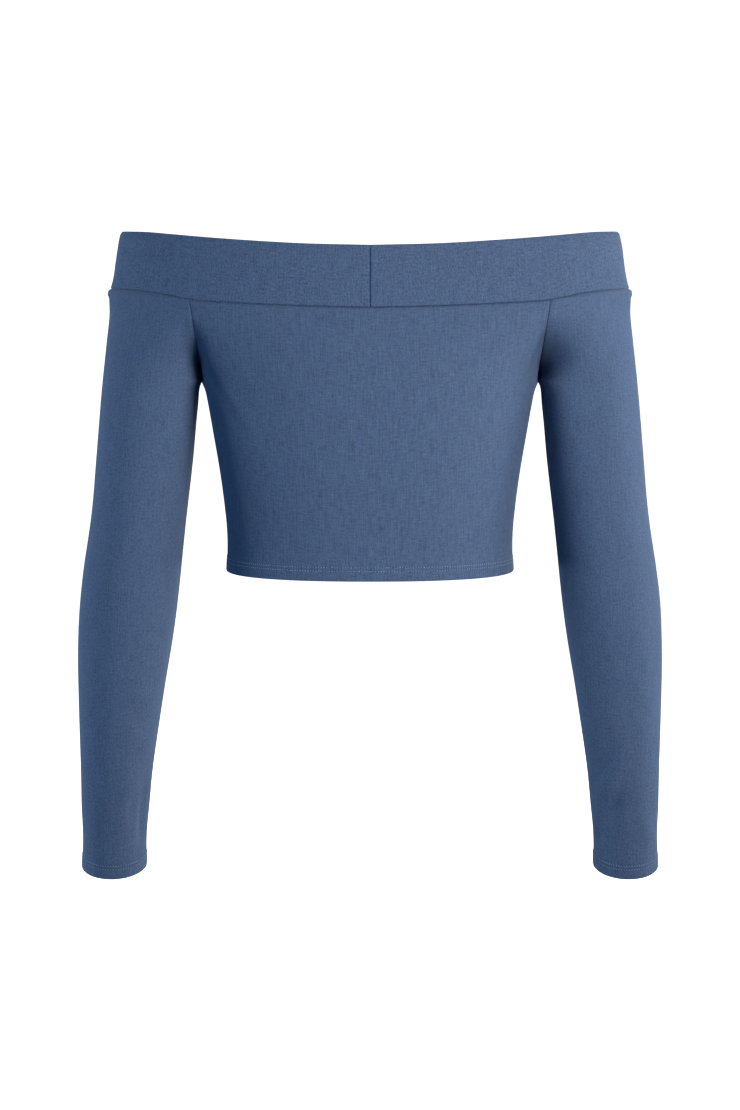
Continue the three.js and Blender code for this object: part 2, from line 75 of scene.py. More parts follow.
# %% The neck loop and its band
NECK_LOOP = {
    "angle": (0, 15, 30, 42.5, 50, 60, 75, 90),
    "seam_front": (-39.7, -38.3, -36.0, -33.4, -29.4, -26.0, -24.8, -25.2),
    "seam_back": (-42.8, -41.3, -38.6, -35.2, -30.6, -26.6, -24.9, -25.2),
    "top_front": (14.4, 15.8, 18.9, 21.9, 23.7, 25.7, 26.7, 26.9),
    "top_back": (11.0, 12.4, 16.0, 19.9, 22.4, 25.0, 26.5, 26.9),
}
BAND_SECTIONS = {
    "rise": (0, 0.1, 0.32, 0.54, 0.76, 1),
    "width": (235.8, 234.2, 231.8, 230.2, 228.4, 225.8),
    "front": (106, 105.4, 104, 102.8, 101.6, 100.4),
    "back": (92, 91.5, 90.4, 89.4, 88.5, 87.6),
}
print(f"the band is {NECK_LOOP['top_front'][0] - NECK_LOOP['seam_front'][0]:.1f} mm high in front")

# %% The armhole and the head of the sleeve
ARMHOLE = {
    "z": (-108, -100.8, -78.7, -61.5, -45.6, -33.4),
    "x": (152.8, 152.9, 153.9, 155.5, 157.5, 159.2),
}
UPPER_ARM_SIDE = {
    "z": (-128, -101.3, -79.5, -57.7, -46.8, -30.5, -25.2),
    "x": (245.9, 243.2, 240.6, 237.7, 236.9, 236.9, 236.2),
}
SLEEVE_HEAD = {
    "turn": (0, 7.5, 15, 22.5, 30, 38, 47, 60, 72, 82, 90),
    "share": (0, 0.022, 0.055, 0.108, 0.18, 0.277, 0.4, 0.6, 0.78, 0.915, 1),
    "front": (106, 103.9, 98.5, 90.7, 83, 74.5, 67.5, 59.5, 54.3, 51.1, 50),
    "back": (92, 90.3, 85.7, 79.2, 72.7, 66.3, 61.5, 56.5, 53, 50.8, 50),
    "square": (2, 2, 2, 2, 2.05, 2.1, 2.2, 2.5, 2.9, 3.25, 3.4),
}
print(f"the armhole is {ARMHOLE['z'][-1] - ARMHOLE['z'][0]:.1f} mm deep")

# %% The sleeve below the underarm and the body
SLEEVE_SECTIONS = {
    "z": (-572, -557, -545, -507, -468, -430, -392, -354, -316, -279, -242, -204, -167, -130, -112, -108),
    "outer": (270.5, 270.4, 269.6, 270.2, 270.4, 270.9, 271.2, 270.9, 268.4, 263.8, 257.7, 252.9, 249.3,
              246.1, 244.4, 243.9),
    "inner": (210.8, 210.1, 210.3, 207, 202.8, 197, 190.9, 184.2, 178.5, 174.2, 170.1, 165.3, 161.1,
              157.4, 154.8, 152.8),
    "depth": (31.6, 31.9, 31.8, 33.4, 35.6, 38, 40.6, 43.6, 46, 46.4, 46.6, 47.4, 48.6, 49.6, 50, 50),
    "centre": (21, 20.4, 20, 18.6, 17.2, 15.6, 14, 12, 10, 8, 6, 4, 2, 0.4, 0, 0),
    "square": (2, 2, 2, 2, 2, 2, 2, 2, 2, 2, 2.04, 2.2, 2.6, 3.1, 3.35, 3.4),
}
BODY_SECTIONS = {
    "z": (-282, -259, -222, -186, -149, -130, -112, -108, -70, -39.7),
    "side": (131.8, 130.7, 133.2, 137.9, 144.0, 147.2, 151.1, 152.8, 152.8, 152.8),
    "front": (95, 96, 100, 105, 109, 110.4, 110.8, 110.8, 108.8, 106),
    "back": (87, 86.5, 87, 89, 92, 93.3, 94, 94, 93.6, 92),
    "square": (2.34, 2.36, 2.4, 2.44, 2.46, 2.44, 2.38, 2.36, 2.12, 2),
}
print(f"the cuff is {SLEEVE_SECTIONS['outer'][0] - SLEEVE_SECTIONS['inner'][0]:.1f} mm wide")

# %% [markdown]
# ## Curves through a table
#
# Between two rows of a table the value runs straight, with a little bend at each end so that the
# slope carries on smoothly into the next stretch. Every function here takes whole arrays, so a
# surface with tens of thousands of points is worked out in one go.

# %% A curve through one column
def curve(table, key, column):
    """The value at a place: the straight line across its stretch, plus t(1 - t) times a bend that
    is mixed from the bends at its two ends. It is level past the ends of the table."""
    at = np.asarray(table[key], float)
    value = np.asarray(table[column], float)
    span, rise = np.diff(at), np.diff(value)
    rate = rise / span
    inner_slope = (rate[:-1] * span[1:] + rate[1:] * span[:-1]) / (span[:-1] + span[1:])
    slope = np.concatenate([rate[:1], inner_slope, rate[-1:]])

    def value_at(place):
        place = np.clip(place, at[0], at[-1])
        i = np.clip(np.searchsorted(at, place, side="right") - 1, 0, len(span) - 1)
        t = (place - at[i]) / span[i]
        bend_in = slope[i] * span[i] - rise[i]
        bend_out = rise[i] - slope[i + 1] * span[i]
        return value[i] + t * rise[i] + t * (1 - t) * (bend_in * (1 - t) + bend_out * t)

    return value_at


def curves(table, key):
    """The curves through every column of a table but the one that it is read by."""
    return {column: curve(table, key, column) for column in table if column != key}


# %% [markdown]
# A few formulas come back in every step: a mix of two values, a smooth step from 0 to 1, a bell that
# falls off with the distance from a seam or a fold, and a direction with a length of one.

# %% Mixes, steps, bells and directions
def mix(first, second, share):
    """first where share is 0, second where it is 1, and in between on a straight line."""
    return first + (second - first) * share


def smooth_step(place, start, end):
    """0 before start, 1 after end, and an S-shaped rise between them: 3t squared less 2t cubed."""
    t = np.clip((place - start) / (end - start), 0, 1)
    return t * t * (3 - 2 * t)


def bell(distance, reach):
    """1 at no distance and less and less on both sides: e to the power -(distance / reach) squared."""
    return np.exp(-((distance / reach) ** 2))


def unit(vectors):
    """The vectors brought to a length of one."""
    return vectors / np.linalg.norm(vectors, axis=-1, keepdims=True)


# %% The curves of this top
FACES = ("front", "back")
neck_loop = curves(NECK_LOOP, "angle")
seam_height = {face: neck_loop["seam_" + face] for face in FACES}
top_height = {face: neck_loop["top_" + face] for face in FACES}
band = curves(BAND_SECTIONS, "rise")
armhole_x = curve(ARMHOLE, "z", "x")
upper_arm_x = curve(UPPER_ARM_SIDE, "z", "x")
head = curves(SLEEVE_HEAD, "turn")
sleeve = curves(SLEEVE_SECTIONS, "z")
body = curves(BODY_SECTIONS, "z")
print("half width of the hem: %.1f mm" % body["side"](HEM_Z))

# %% [markdown]
# ## Sections of a body in stretch cloth
#
# Stretch cloth rounds off whatever it is pulled over. A section is an ellipse, or a slightly squarer
# curve where the body is: one less the share of the half width to a power, and the same root of that.
# The armhole is the edge that the sleeve shares with the body. It starts at the neck seam and runs
# down to the underarm, while the ring of the sleeve opens from an arc into a full turn.

# %% Section shares and the armhole's edge
def section_share(share, square):
    """The depth left at a share of the half width: (1 - |share|^square) to the power 1/square."""
    return (1 - np.minimum(np.abs(share), 1) ** square) ** (1 / square)


def ring_angle(y, depth, square, plain_angle):
    """The angle round a ring at which its edge lies, on the inner side that may be square."""
    cosine = -section_share(np.minimum(y / depth, 1), square)
    return np.where(plain_angle <= 90, plain_angle, np.degrees(np.arccos(cosine)))


def armhole_edge(turn, face, lap):
    """Points of the armhole by the turn from the neck seam (0) to the underarm (90). The body laps
    outwards and the sleeve inwards, by a hair, so that no light comes through the seam."""
    z = mix(seam_height[face](ARMHOLE_ANGLE), UNDERARM_Z, head["share"](turn))
    plain_angle = 180 - (90 + ARMHOLE_ANGLE) * np.cos(np.radians(turn))
    depth = head[face](turn)
    y = np.maximum(depth * np.sin(np.radians(plain_angle)), SEAM_GAP / 2)
    square = head["square"](turn)
    wrap = ring_angle(y, depth, square, plain_angle)
    return {"x": armhole_x(z) + lap, "y": y, "z": z, "depth": depth, "square": square, "wrap": wrap}


def middle_share(turn):
    """How far down the middle of a row has come when its edge is at a turn of the armhole."""
    return (head["share"](turn) + turn / 90) / 2


# %% [markdown]
# ## Rows of guide points
#
# Each piece is first laid out on a coarse net of guide points, the way a pattern is drafted with a
# few measured lines. The rows run from the neck seam past the underarm down to the hem. Above the
# underarm they end on the armhole, and below it on the side seam or the underarm seam. At the level
# of the underarm the cloth changes its course, so the points there are eased: again and again each
# one moves towards the line between the points above and below it.

# %% The guide rows
ARMHOLE_TURNS = np.array([0, 2.5, 6.5, 14, 23, 32, 41, 50, 58, 66, 73, 80, 86, 90.0])
BODY_SHARES = np.array([0.012, 0.045, 0.1, 0.18, 0.3, 0.44, 0.58, 0.72, 0.86, 1])
SLEEVE_SHARES = np.array([0.004, 0.016, 0.04, 0.08, 0.14, 0.21, 0.28, 0.35, 0.42, 0.49, 0.56, 0.63,
                          0.7, 0.77, 0.84, 0.9, 0.95, 1])
BODY_GUIDES = 23
SLEEVE_GUIDES = 21
print(f"guide points: {BODY_GUIDES} across a body panel, {SLEEVE_GUIDES} round a sleeve")

# %% Easing the net at the underarm
EASE_ROWS_ABOVE = 7
EASE_ROWS_BELOW = 5
EASE_PASSES = 12
EASE_STEP = 0.5
EASE_FULL_COLUMN = 5


def eased(grid):
    """The net with its points near the underarm level moved towards the line between the points
    above and below, at the same ratio of distances, and less so beside the seams."""
    underarm = len(ARMHOLE_TURNS) - 1
    rows = np.arange(underarm - EASE_ROWS_ABOVE, underarm + EASE_ROWS_BELOW + 1)
    columns = np.arange(grid.shape[1])
    from_seam = np.minimum(columns, columns[::-1]) / EASE_FULL_COLUMN
    step = (EASE_STEP * np.minimum(from_seam, 1) ** 2)[None, :, None]
    for _ in range(EASE_PASSES):
        above, here, below = grid[rows - 1], grid[rows], grid[rows + 1]
        up = np.linalg.norm(above - here, axis=2, keepdims=True)
        down = np.linalg.norm(below - here, axis=2, keepdims=True)
        grid = grid.copy()
        grid[rows] = mix(here, mix(above, below, up / (up + down)), step)
    return grid


# %% The levels of the lower rows
def lower_levels(shares, bottom_z):
    """Edge heights and middle heights of the rows below the underarm, the last one at the hem."""
    edge_span = UNDERARM_Z - bottom_z - HEM_DEPTH
    middle_span = UNDERARM_ROW_MIDDLE_Z - bottom_z - HEM_DEPTH
    hem_rows = bottom_z + HEM_DEPTH * np.array([0.5, 0])
    edge = np.concatenate([UNDERARM_Z - edge_span * shares, hem_rows])
    middle = np.concatenate([UNDERARM_ROW_MIDDLE_Z - middle_span * shares, hem_rows])
    return edge, middle


def stacked(*parts):
    """Values for the rows above the underarm and for those below it, as one column."""
    return np.concatenate(parts)[:, None]


def by_face(in_front, curve_of, place):
    """The front's curve where the cloth lies in front, and the back's elsewhere."""
    return np.where(in_front, curve_of["front"](place), curve_of["back"](place))


# %% [markdown]
# ## The front and the back
#
# A row of a body panel is half a section of the body: the angle across it gives the place from side
# to side, and the section's share gives how far it stands out. The neck seam dips at the centre, so
# the rows start on that curve and fade to level by the underarm.

# %% Guide points of a body panel
def body_guides(face):
    """x is half width times the sine of the angle, y is depth times the section's share of that
    sine, and z runs between the heights of the row's edge and middle with the cosine of the angle."""
    edge = armhole_edge(ARMHOLE_TURNS, face, ARMHOLE_LAP)
    middle = mix(seam_height[face](0), UNDERARM_ROW_MIDDLE_Z, middle_share(ARMHOLE_TURNS))
    lower, lower_middle = lower_levels(BODY_SHARES, HEM_Z)
    x = stacked(edge["x"], body["side"](lower))
    y = stacked(edge["y"], np.full(len(lower), SEAM_GAP / 2))
    z = stacked(edge["z"], lower)
    middle_z = stacked(middle, lower_middle)
    fade = stacked(1 - ARMHOLE_TURNS / 90, np.zeros(len(lower)))
    depth, square = body[face](middle_z), body["square"](middle_z)
    side_share = section_share(y / depth, square)
    reach = np.arcsin(side_share)
    half_width = (x - SEAM_GAP / 2) / side_share
    across = np.linspace(-1, 1, BODY_GUIDES)[None, :]
    angle = across * reach
    share = (np.cos(angle) - np.cos(reach)) / (1 - np.cos(reach))
    seam = seam_height[face]
    departure = seam(np.abs(across) * ARMHOLE_ANGLE) - mix(seam(ARMHOLE_ANGLE), seam(0), share)
    height = mix(z, middle_z, share) + fade * (departure - SEAM_GAP / 2)
    sign = -1 if face == "front" else 1
    depth_at = sign * depth * section_share(np.sin(angle), square)
    return eased(np.stack([half_width * np.sin(angle), depth_at, height], axis=2))


# %% [markdown]
# ## The sleeves
#
# A sleeve starts as an arc over the arm, between the front and the back of the armhole, and becomes
# a whole ring at the underarm. Its columns run from the underarm seam round the front of the arm,
# over its outer side and round the back to the seam again.

# %% Guide points of a sleeve
def sleeve_guides(side):
    """Round the ring, x is half width times the cosine from the outermost line and y is depth times
    the sine, squarer on the inner side, and z runs between the heights of the two seams."""
    edges = {face: armhole_edge(ARMHOLE_TURNS, face, -ARMHOLE_LAP) for face in FACES}
    lower, lower_outer = lower_levels(SLEEVE_SHARES, CUFF_Z)
    level = (lower + lower_outer) / 2
    ring = {"x": sleeve["inner"](lower), "y": np.full(len(lower), SEAM_GAP / 2), "z": lower,
            "depth": sleeve["depth"](level), "square": sleeve["square"](level)}
    ring["wrap"] = ring_angle(ring["y"], ring["depth"], ring["square"], np.full(len(lower), 180.0))
    top_z = mix(seam_height["front"](90), UNDERARM_ROW_MIDDLE_Z, middle_share(ARMHOLE_TURNS))
    outer_z = stacked(top_z, lower_outer)
    fade = stacked(1 - ARMHOLE_TURNS / 90, np.zeros(len(lower)))
    centre = stacked(np.zeros(len(top_z)), sleeve["centre"](level))
    outer_x = np.where(outer_z > UNDERARM_ROW_MIDDLE_Z, upper_arm_x(outer_z), sleeve["outer"](outer_z))
    across = np.linspace(-1, 1, SLEEVE_GUIDES)[None, :]

    def of_edge(key):
        columns = {face: stacked(edges[face][key], ring[key]) for face in FACES}
        return np.where(across < 0, columns["front"], columns["back"])

    wrap, edge_z, square = of_edge("wrap"), of_edge("z"), of_edge("square")
    around = np.radians(across * wrap)
    wrap_cosine = np.cos(np.radians(wrap))
    half_width = (outer_x - of_edge("x") - SEAM_GAP / 2) / (1 - wrap_cosine)
    share = (np.cos(around) - wrap_cosine) / (1 - wrap_cosine)
    seam_angle = 90 - np.abs(across) * (90 - ARMHOLE_ANGLE)
    seam = by_face(across < 0, seam_height, seam_angle)
    seam_end = by_face(across < 0, seam_height, ARMHOLE_ANGLE)
    departure = seam - mix(seam_end, seam_height["front"](90), share)
    tilt = CUFF_TILT * smooth_step(-edge_z, -CUFF_TILT_START_Z, -CUFF_Z) * np.sin(around)
    height = mix(edge_z, outer_z, share) + fade * (departure - SEAM_GAP / 2) + tilt
    cosine, sine = np.cos(around), np.sin(around)
    depth_share = np.where(cosine < 0, np.sign(sine) * section_share(cosine, square), sine)
    x = side * (outer_x - half_width + half_width * cosine)
    return eased(np.stack([x, centre + of_edge("depth") * depth_share, height], axis=2))


# %% [markdown]
# ## The neck band
#
# The band is one upright strip, folded double along its top edge. Its ends meet in the upright seam
# at the centre front. It leans in a little towards the top, because it grips the arms.

# %% Guide points of the band
BAND_RISES = np.array([0, 0.1, 0.25, 0.4, 0.55, 0.7, 0.85, 1])
BAND_GUIDES = 97


def band_guides():
    """Round the loop, x is half width times the sine of the angle and y is depth times the cosine,
    and z runs between the neck seam and the fold. The rows go from the seam up."""
    gap_angle = np.degrees(SEAM_GAP / 2 / band["width"](0))
    turn = np.radians(np.linspace(gap_angle, 360 - gap_angle, BAND_GUIDES))[None, :]
    rise = BAND_RISES[:, None]
    cosine = np.cos(turn)
    from_centre = np.degrees(np.arccos(np.abs(cosine)))
    in_front = cosine > 0
    bottom = by_face(in_front, seam_height, from_centre)
    top = by_face(in_front, top_height, from_centre)
    depth = by_face(in_front, band, rise)
    z = mix(bottom + SEAM_GAP / 2, top, rise)
    return np.stack([band["width"](rise) * np.sin(turn), -depth * cosine, z], axis=2)


# %% [markdown]
# ## From guide points to smooth cloth
#
# A spline is the curve that a thin springy strip takes when it is held at the guide points. Laid
# first down and then across the net, it gives a surface whose slope and bend both run on smoothly.
# The new rows and columns are dense beside seams, hems and folds, where a stitch changes the form
# within a millimetre, and about two millimetres apart elsewhere.

# %% A spline through rows of points
def spline(values, at, places):
    """A cubic on each stretch. The slopes at the guide points solve the equations that make the
    bend equal on both sides of each, and the first and last stretch are parabolas."""
    flat = values.reshape(len(values), -1)
    span = np.diff(at)
    rate = np.diff(flat, axis=0) / span[:, None]
    count = len(at)
    inner = np.arange(1, count - 1)
    system, known = np.zeros((count, count)), np.zeros_like(flat)
    system[0, :2], known[0] = 1, 2 * rate[0]
    system[-1, -2:], known[-1] = 1, 2 * rate[-1]
    system[inner, inner - 1], system[inner, inner + 1] = span[1:], span[:-1]
    system[inner, inner] = 2 * (span[:-1] + span[1:])
    known[1:-1] = 3 * (span[1:, None] * rate[:-1] + span[:-1, None] * rate[1:])
    slope = np.linalg.solve(system, known)
    i = np.clip(np.searchsorted(at, places, side="right") - 1, 0, count - 2)
    t = ((places - at[i]) / span[i])[:, None]
    width = span[i][:, None]
    line = mix(flat[i], flat[i + 1], t)
    bend_in = (slope[i] - rate[i]) * width
    bend_out = (rate[i] - slope[i + 1]) * width
    smooth = line + t * (1 - t) * (bend_in * (1 - t) + bend_out * t)
    return smooth.reshape((len(places),) + values.shape[1:])


# %% Places and lengths along a net
def places_along(length, near_start, near_end, step):
    """Places from 0 to length: those listed near the start, those listed near the end, measured
    back from it, and evenly spaced ones between."""
    first, last = near_start[-1], length - near_end[-1]
    count = int(np.ceil((last - first) / step))
    middle = np.linspace(first, last, count + 1)[1:-1]
    return np.concatenate([near_start, middle, length - np.array(near_end[::-1])])


def lengths_along(points, axis):
    """Distance walked along the net from its first row or column to each point."""
    step = np.linalg.norm(np.diff(points, axis=axis), axis=2)
    start = np.zeros_like(np.take(step, [0], axis=axis))
    return np.concatenate([start, np.cumsum(step, axis=axis)], axis=axis)


# %% Places beside a seam, a fold and a stitched hem
SEAM_PLACES = (0, 0.15, 0.35, 0.6, 0.9, 1.3, 1.8, 2.5, 3.4, 4.4, 5.5, 6.7, 8, 9.6)
FOLD_PLACES = (0, 0.04, 0.12, 0.25, 0.45, 0.7, 1.0, 1.4, 2.2, 3.4)
HEM_PLACES = (0, 0.04, 0.12, 0.25, 0.45, 0.7, 1.0, 1.4, 2.2, 3.6, 5.2, 6.8, 7.8, 8.4, 8.9, 9.4, 9.9,
              10.4, 11, 11.6, 12.1, 12.6, 13.1, 13.6, 14.1, 14.7, 15.3, 16, 17, 18.5)


# %% A fine net of cloth with its distances and directions
def fine_net(guides, turned, row_ends, column_ends, step):
    """The guide net laid through splines down and across, with the distance of each point to the
    top, the bottom, the left edge, the nearer side and the centre line. turned is 1 where down
    cross across points out of the cloth, and -1 where it points in."""
    down_at = lengths_along(guides, 0).mean(axis=1)
    down_places = places_along(down_at[-1], *row_ends, step)
    rows = spline(guides, down_at, down_places)
    across_length = lengths_along(guides, 1)[:, -1].mean()
    across_at = np.linspace(0, across_length, guides.shape[1])
    across_places = places_along(across_length, *column_ends, step)
    points = spline(rows.transpose(1, 0, 2), across_at, across_places).transpose(1, 0, 2)
    from_top, from_left = lengths_along(points, 0), lengths_along(points, 1)
    return {
        "points": points, "turned": turned, "down_places": down_places, "across_places": across_places,
        "top": from_top, "bottom": from_top[-1:] - from_top,
        "left": from_left, "beside": np.minimum(from_left, from_left[:, -1:] - from_left),
        "across": from_left - from_left[:, -1:] / 2,
    }


# %% [markdown]
# ## The direction out of the cloth
#
# Every roll, ridge and fold is a height along the direction out of the cloth, which is square to both
# lines of the net. Where two pieces are sewn together both have to use one direction, or their rolled
# edges would part and let light through. So each net turns to a shared direction beside a seam.

# %% The direction that both cloths of a seam share
LEVEL_REACH = 1.5
ARMHOLE_MIDDLE_Z = -60.0
SIDE_SEAM_FROM_Z = -125.0


def seam_direction(net, outward):
    """Away from the middle of the armhole in y and z, and straight sideways further down."""
    x, y, z = np.moveaxis(net["points"], 2, 0)
    away = unit(np.stack([0 * x, y, z - ARMHOLE_MIDDLE_Z], axis=2))
    sideways = np.stack([outward * np.sign(x), 0 * y, 0 * z], axis=2)
    return mix(away, sideways, smooth_step(-z, -UNDERARM_Z, -SIDE_SEAM_FROM_Z)[:, :, None])


# %% The direction out of the cloth
def add_normals(net, outward=0):
    """The cross product of down and across. Beside a seam at the side it turns to the direction that
    both cloths share, and beside the neck seam it turns level."""
    down = np.gradient(net["points"], net["down_places"], axis=0, edge_order=2)
    across = np.gradient(net["points"], net["across_places"], axis=1, edge_order=2)
    normals = unit(np.cross(down, across) * net["turned"])
    if outward:
        near = bell(net["beside"], LEVEL_REACH)[:, :, None]
        normals = mix(normals, seam_direction(net, outward), near)
    normals[:, :, 2] *= 1 - bell(net["top"], LEVEL_REACH)
    net["normals"] = unit(normals)


def square_ends(net):
    """At the centre front the normal turns straight forward, so that both ends of the band meet."""
    normals = net["normals"].copy()
    normals[:, :, 0] *= 1 - bell(net["beside"], LEVEL_REACH)
    net["normals"] = unit(normals)


# %% [markdown]
# ## What sewing does to cloth
#
# A plain seam pulls both edges in, so each panel rolls over into a thin dark valley. The seam
# allowance is pressed to one side and shows through the cloth as a low ridge, with its edge where the
# overlocked allowance ends. A turned-up hem is double, so it stands slightly proud, and each row of
# stitches draws a groove. All of these are heights added to the plain surface, in millimetres.

# %% Seams and their allowances as heights
SEAM_ROLL = 1.0
SEAM_ROLL_REACH = 0.48
ALLOWANCE_RISE_REACH = 1.5
ALLOWANCE_FALL_REACH = 2.4


def seam_roll(distance):
    """Minus a bell: the cloth's edge turns in beside the seam."""
    return -SEAM_ROLL * bell(distance, SEAM_ROLL_REACH)


def allowance(distance, height, width):
    """A plateau as wide as the seam allowance, with a soft rise at the seam and a soft fall."""
    rise = 1 - bell(distance, ALLOWANCE_RISE_REACH)
    fall = bell(np.maximum(distance - width, 0), ALLOWANCE_FALL_REACH)
    return height * rise * fall


# %% A stitched hem and a folded edge as heights
HEM_PROUD = 0.4
HEM_STEP_WIDTH = 1.1
STITCH_ROWS = (9.4, 12.6)
STITCH_GROOVE = 0.3
STITCH_GROOVE_REACH = 0.6
EDGE_LEFT = 0.04


def hem_relief(distance):
    """The doubled hem stands proud up to its depth, and each row of stitches draws a groove."""
    step = 1 - smooth_step(distance, HEM_DEPTH - HEM_STEP_WIDTH, HEM_DEPTH)
    grooves = sum(bell(distance - row, STITCH_GROOVE_REACH) for row in STITCH_ROWS)
    return HEM_PROUD * step - STITCH_GROOVE * grooves


def rounded(distance, thickness):
    """How far a folded edge has turned in: radius less the height of a circle at that distance. At
    the very edge a thin share of the radius is left."""
    radius = thickness / 2
    inside = np.clip(radius - distance, 0, radius)
    return radius - np.sqrt(np.maximum(radius ** 2 - inside ** 2, (EDGE_LEFT * radius) ** 2))


print(f"the needle rows of a hem are {STITCH_ROWS[1] - STITCH_ROWS[0]:.1f} mm apart")

# %% [markdown]
# ## Shade in the valleys
#
# Hardly any light reaches the bottom of a seam's valley, or the cloth high up under an arm. Soft studio
# light still finds its way in there, so each net also keeps a shade from 0 to 1. It goes into the mesh
# as an attribute, and the jersey sinks to a deep blue by it.

# %% How much light a seam and an armpit keep out
SEAM_SHADE_REACH = 0.62
NECK_SEAM_SHADE = 0.4
SIDE_SEAM_SHADE = 0.35
ARMPIT_SHADE = {"body": 0.45, "left": 0.85, "right": 0.5}


def seam_shade(net, armpit=0.0):
    """A bell of the distance to the neck seam or one of the distance to the seams at both sides,
    whichever is more, and the armpit's hollow on top."""
    at_neck = NECK_SEAM_SHADE * bell(net["top"], SEAM_SHADE_REACH)
    at_side = SIDE_SEAM_SHADE * bell(net["beside"], SEAM_SHADE_REACH)
    return np.minimum(np.maximum(at_neck, at_side) + armpit * net.get("hollow", 0.0), 1)


# %% [markdown]
# ## Soft folds
#
# Tight jersey hardly creases. What shows is a few soft troughs and ridges where an arm bends and
# above a cuff. Each is listed one by one: where it is, how long and how wide, how it leans and how
# high it stands. A trough has a minus sign. They differ in length, depth and spacing, as real ones do.
# In the tables down is the distance from the neck seam and across the distance from the centre line,
# both in millimetres.

# %% The folds of the sleeves
FOLD_COLUMNS = ("down", "across", "length", "width", "lean", "rise")
SLEEVE_FOLDS = {
    "left": (
        (282, -45, 34, 24, 0.5, -1.2), (452, -80, 18, 7, -0.5, -4.0), (468, -71, 20, 6, -0.45, 2.8),
        (490, -68, 24, 9, -0.4, -4.6), (512, -24, 14, 12, 0.6, 1.6), (435, 52, 26, 22, 0.7, -1.5),
        (330, 76, 28, 20, -0.6, -1.8), (303, 88, 24, 18, -0.6, 1.3), (522, -84, 10, 9, 0.2, -2.2),
        (522, 30, 12, 10, -0.4, -0.9), (300, 10, 26, 16, 0.3, 0.8), (392, -78, 22, 12, 0.3, 0.6),
    ),
    "right": (
        (300, -52, 30, 24, 0.6, -1.2), (385, -86, 18, 14, -0.4, 1.5), (404, -84, 12, 11, -0.4, -1.2),
        (426, -84, 12, 10, -0.3, 1.3), (496, -85, 34, 8, 0.1, -3.8), (471, -65, 8, 7, 0.5, 1.8),
        (488, -72, 14, 6, 0.3, -2.6), (452, -37, 13, 9, -0.5, -1.5), (449, 62, 26, 24, 0.7, -1.5),
        (315, 80, 30, 20, -0.6, -1.8), (524, 22, 11, 14, -0.3, -0.8), (500, -44, 15, 9, 0.2, -1.2),
    ),
}
print({side: f"{len(rows)} folds" for side, rows in SLEEVE_FOLDS.items()})

# %% The folds of the body and the band
BODY_FOLDS = {
    "front": (
        (84, -150, 28, 9, 0.9, -1.0), (100, -122, 32, 10, 0.8, 0.7), (84, 150, 28, 9, -0.9, -1.1),
        (102, 124, 32, 10, -0.8, 0.9), (186, -112, 30, 14, 0.3, -0.6), (200, 96, 34, 16, -0.3, -0.5),
        (150, 30, 46, 26, 0.1, 0.25), (120, -40, 40, 24, -0.1, -0.25),
    ),
    "back": (
        (80, -142, 26, 10, -0.9, -0.6), (96, -118, 30, 11, -0.8, 0.4), (82, 140, 28, 10, 0.9, -0.6),
        (100, 116, 28, 11, 0.8, 0.4), (176, -40, 22, 60, 2.2, -0.5), (196, 34, 20, 60, -2.4, -0.5),
        (158, 6, 16, 64, 3.0, 0.35),
    ),
}
BAND_FOLDS = (
    (43, 322, 5, 36, 5, 0.7), (35, 336, 5, 44, -5, -0.8), (26, 318, 6, 34, 4, 0.7),
    (12, 300, 16, 7, -0.4, -0.9), (40, 300, 9, 8, 0.5, -0.8), (9, 350, 4, 46, 4, 0.6),
    (42, -330, 6, 50, -5, 0.5), (28, -345, 7, 60, 6, -0.3), (36, -180, 8, 80, 7, 0.2),
    (26, 190, 8, 76, -6, 0.2), (38, 60, 8, 70, 8, -0.2), (22, -70, 8, 66, -7, -0.2),
)
print({face: f"{len(rows)} folds" for face, rows in BODY_FOLDS.items()})

# %% Folds as heights
FOLD_FADE_REACH = 4.0


def folds(table, net):
    """The sum of hills: each is a bell of the distance along it and of the distance across it, less
    its lean. All fade out beside a seam, which holds the cloth flat."""
    total = np.zeros_like(net["top"])
    for row in table:
        fold = dict(zip(FOLD_COLUMNS, row))
        along = net["top"] - fold["down"]
        aside = net["across"] - fold["across"] - fold["lean"] * along
        total += fold["rise"] * bell(along, fold["length"]) * bell(aside, fold["width"])
    from_seam = np.minimum(net["beside"], net["top"])
    return total * (1 - bell(from_seam, FOLD_FADE_REACH))


# %% [markdown]
# ## The hollow at the armpit
#
# Where an arm hangs beside the body, the cloth of both is drawn into the armpit. The hollow follows
# the lower half of the armhole seam, and both pieces share it, so the seam stays closed.

# %% The hollow at the armpit
ARMPIT_DEPTH = 10.5
BODY_ARMPIT = {"width": 9.5, "end_z": -132.0}
SLEEVE_ARMPIT = {"left": {"width": 25.0, "end_z": -196.0}, "right": {"width": 13.0, "end_z": -160.0}}
ARMPIT_FROM_Z, ARMPIT_FULL_Z = -44.0, -94.0
ARMPIT_FADE_Z = -114.0
ARMPIT_SIDE_Y = (3.0, 26.0)


def sink_armpit(net, width, end_z):
    """Moves points in along y, towards the middle of the body, by a bell of their distance from the
    seam, fading in down the armhole, out below the underarm, and out towards the side."""
    x, y, z = np.moveaxis(net["points"], 2, 0)
    fade = smooth_step(-z, -ARMPIT_FROM_Z, -ARMPIT_FULL_Z)
    fade *= 1 - smooth_step(-z, -ARMPIT_FADE_Z, -end_z)
    fade *= smooth_step(np.abs(y), *ARMPIT_SIDE_Y)
    net["hollow"] = bell(net["beside"], width) * fade
    net["points"][:, :, 1] -= np.sign(y) * ARMPIT_DEPTH * net["hollow"]


# %% [markdown]
# ## A closed shell from a net
#
# The outer layer is the net moved out by its heights, and the inner one lies a wall's thickness
# further in. Rims join the two all round. The net also gives the cloth its own coordinates: metres
# across and metres down the grain, kept as a UV map that the knit is drawn on.

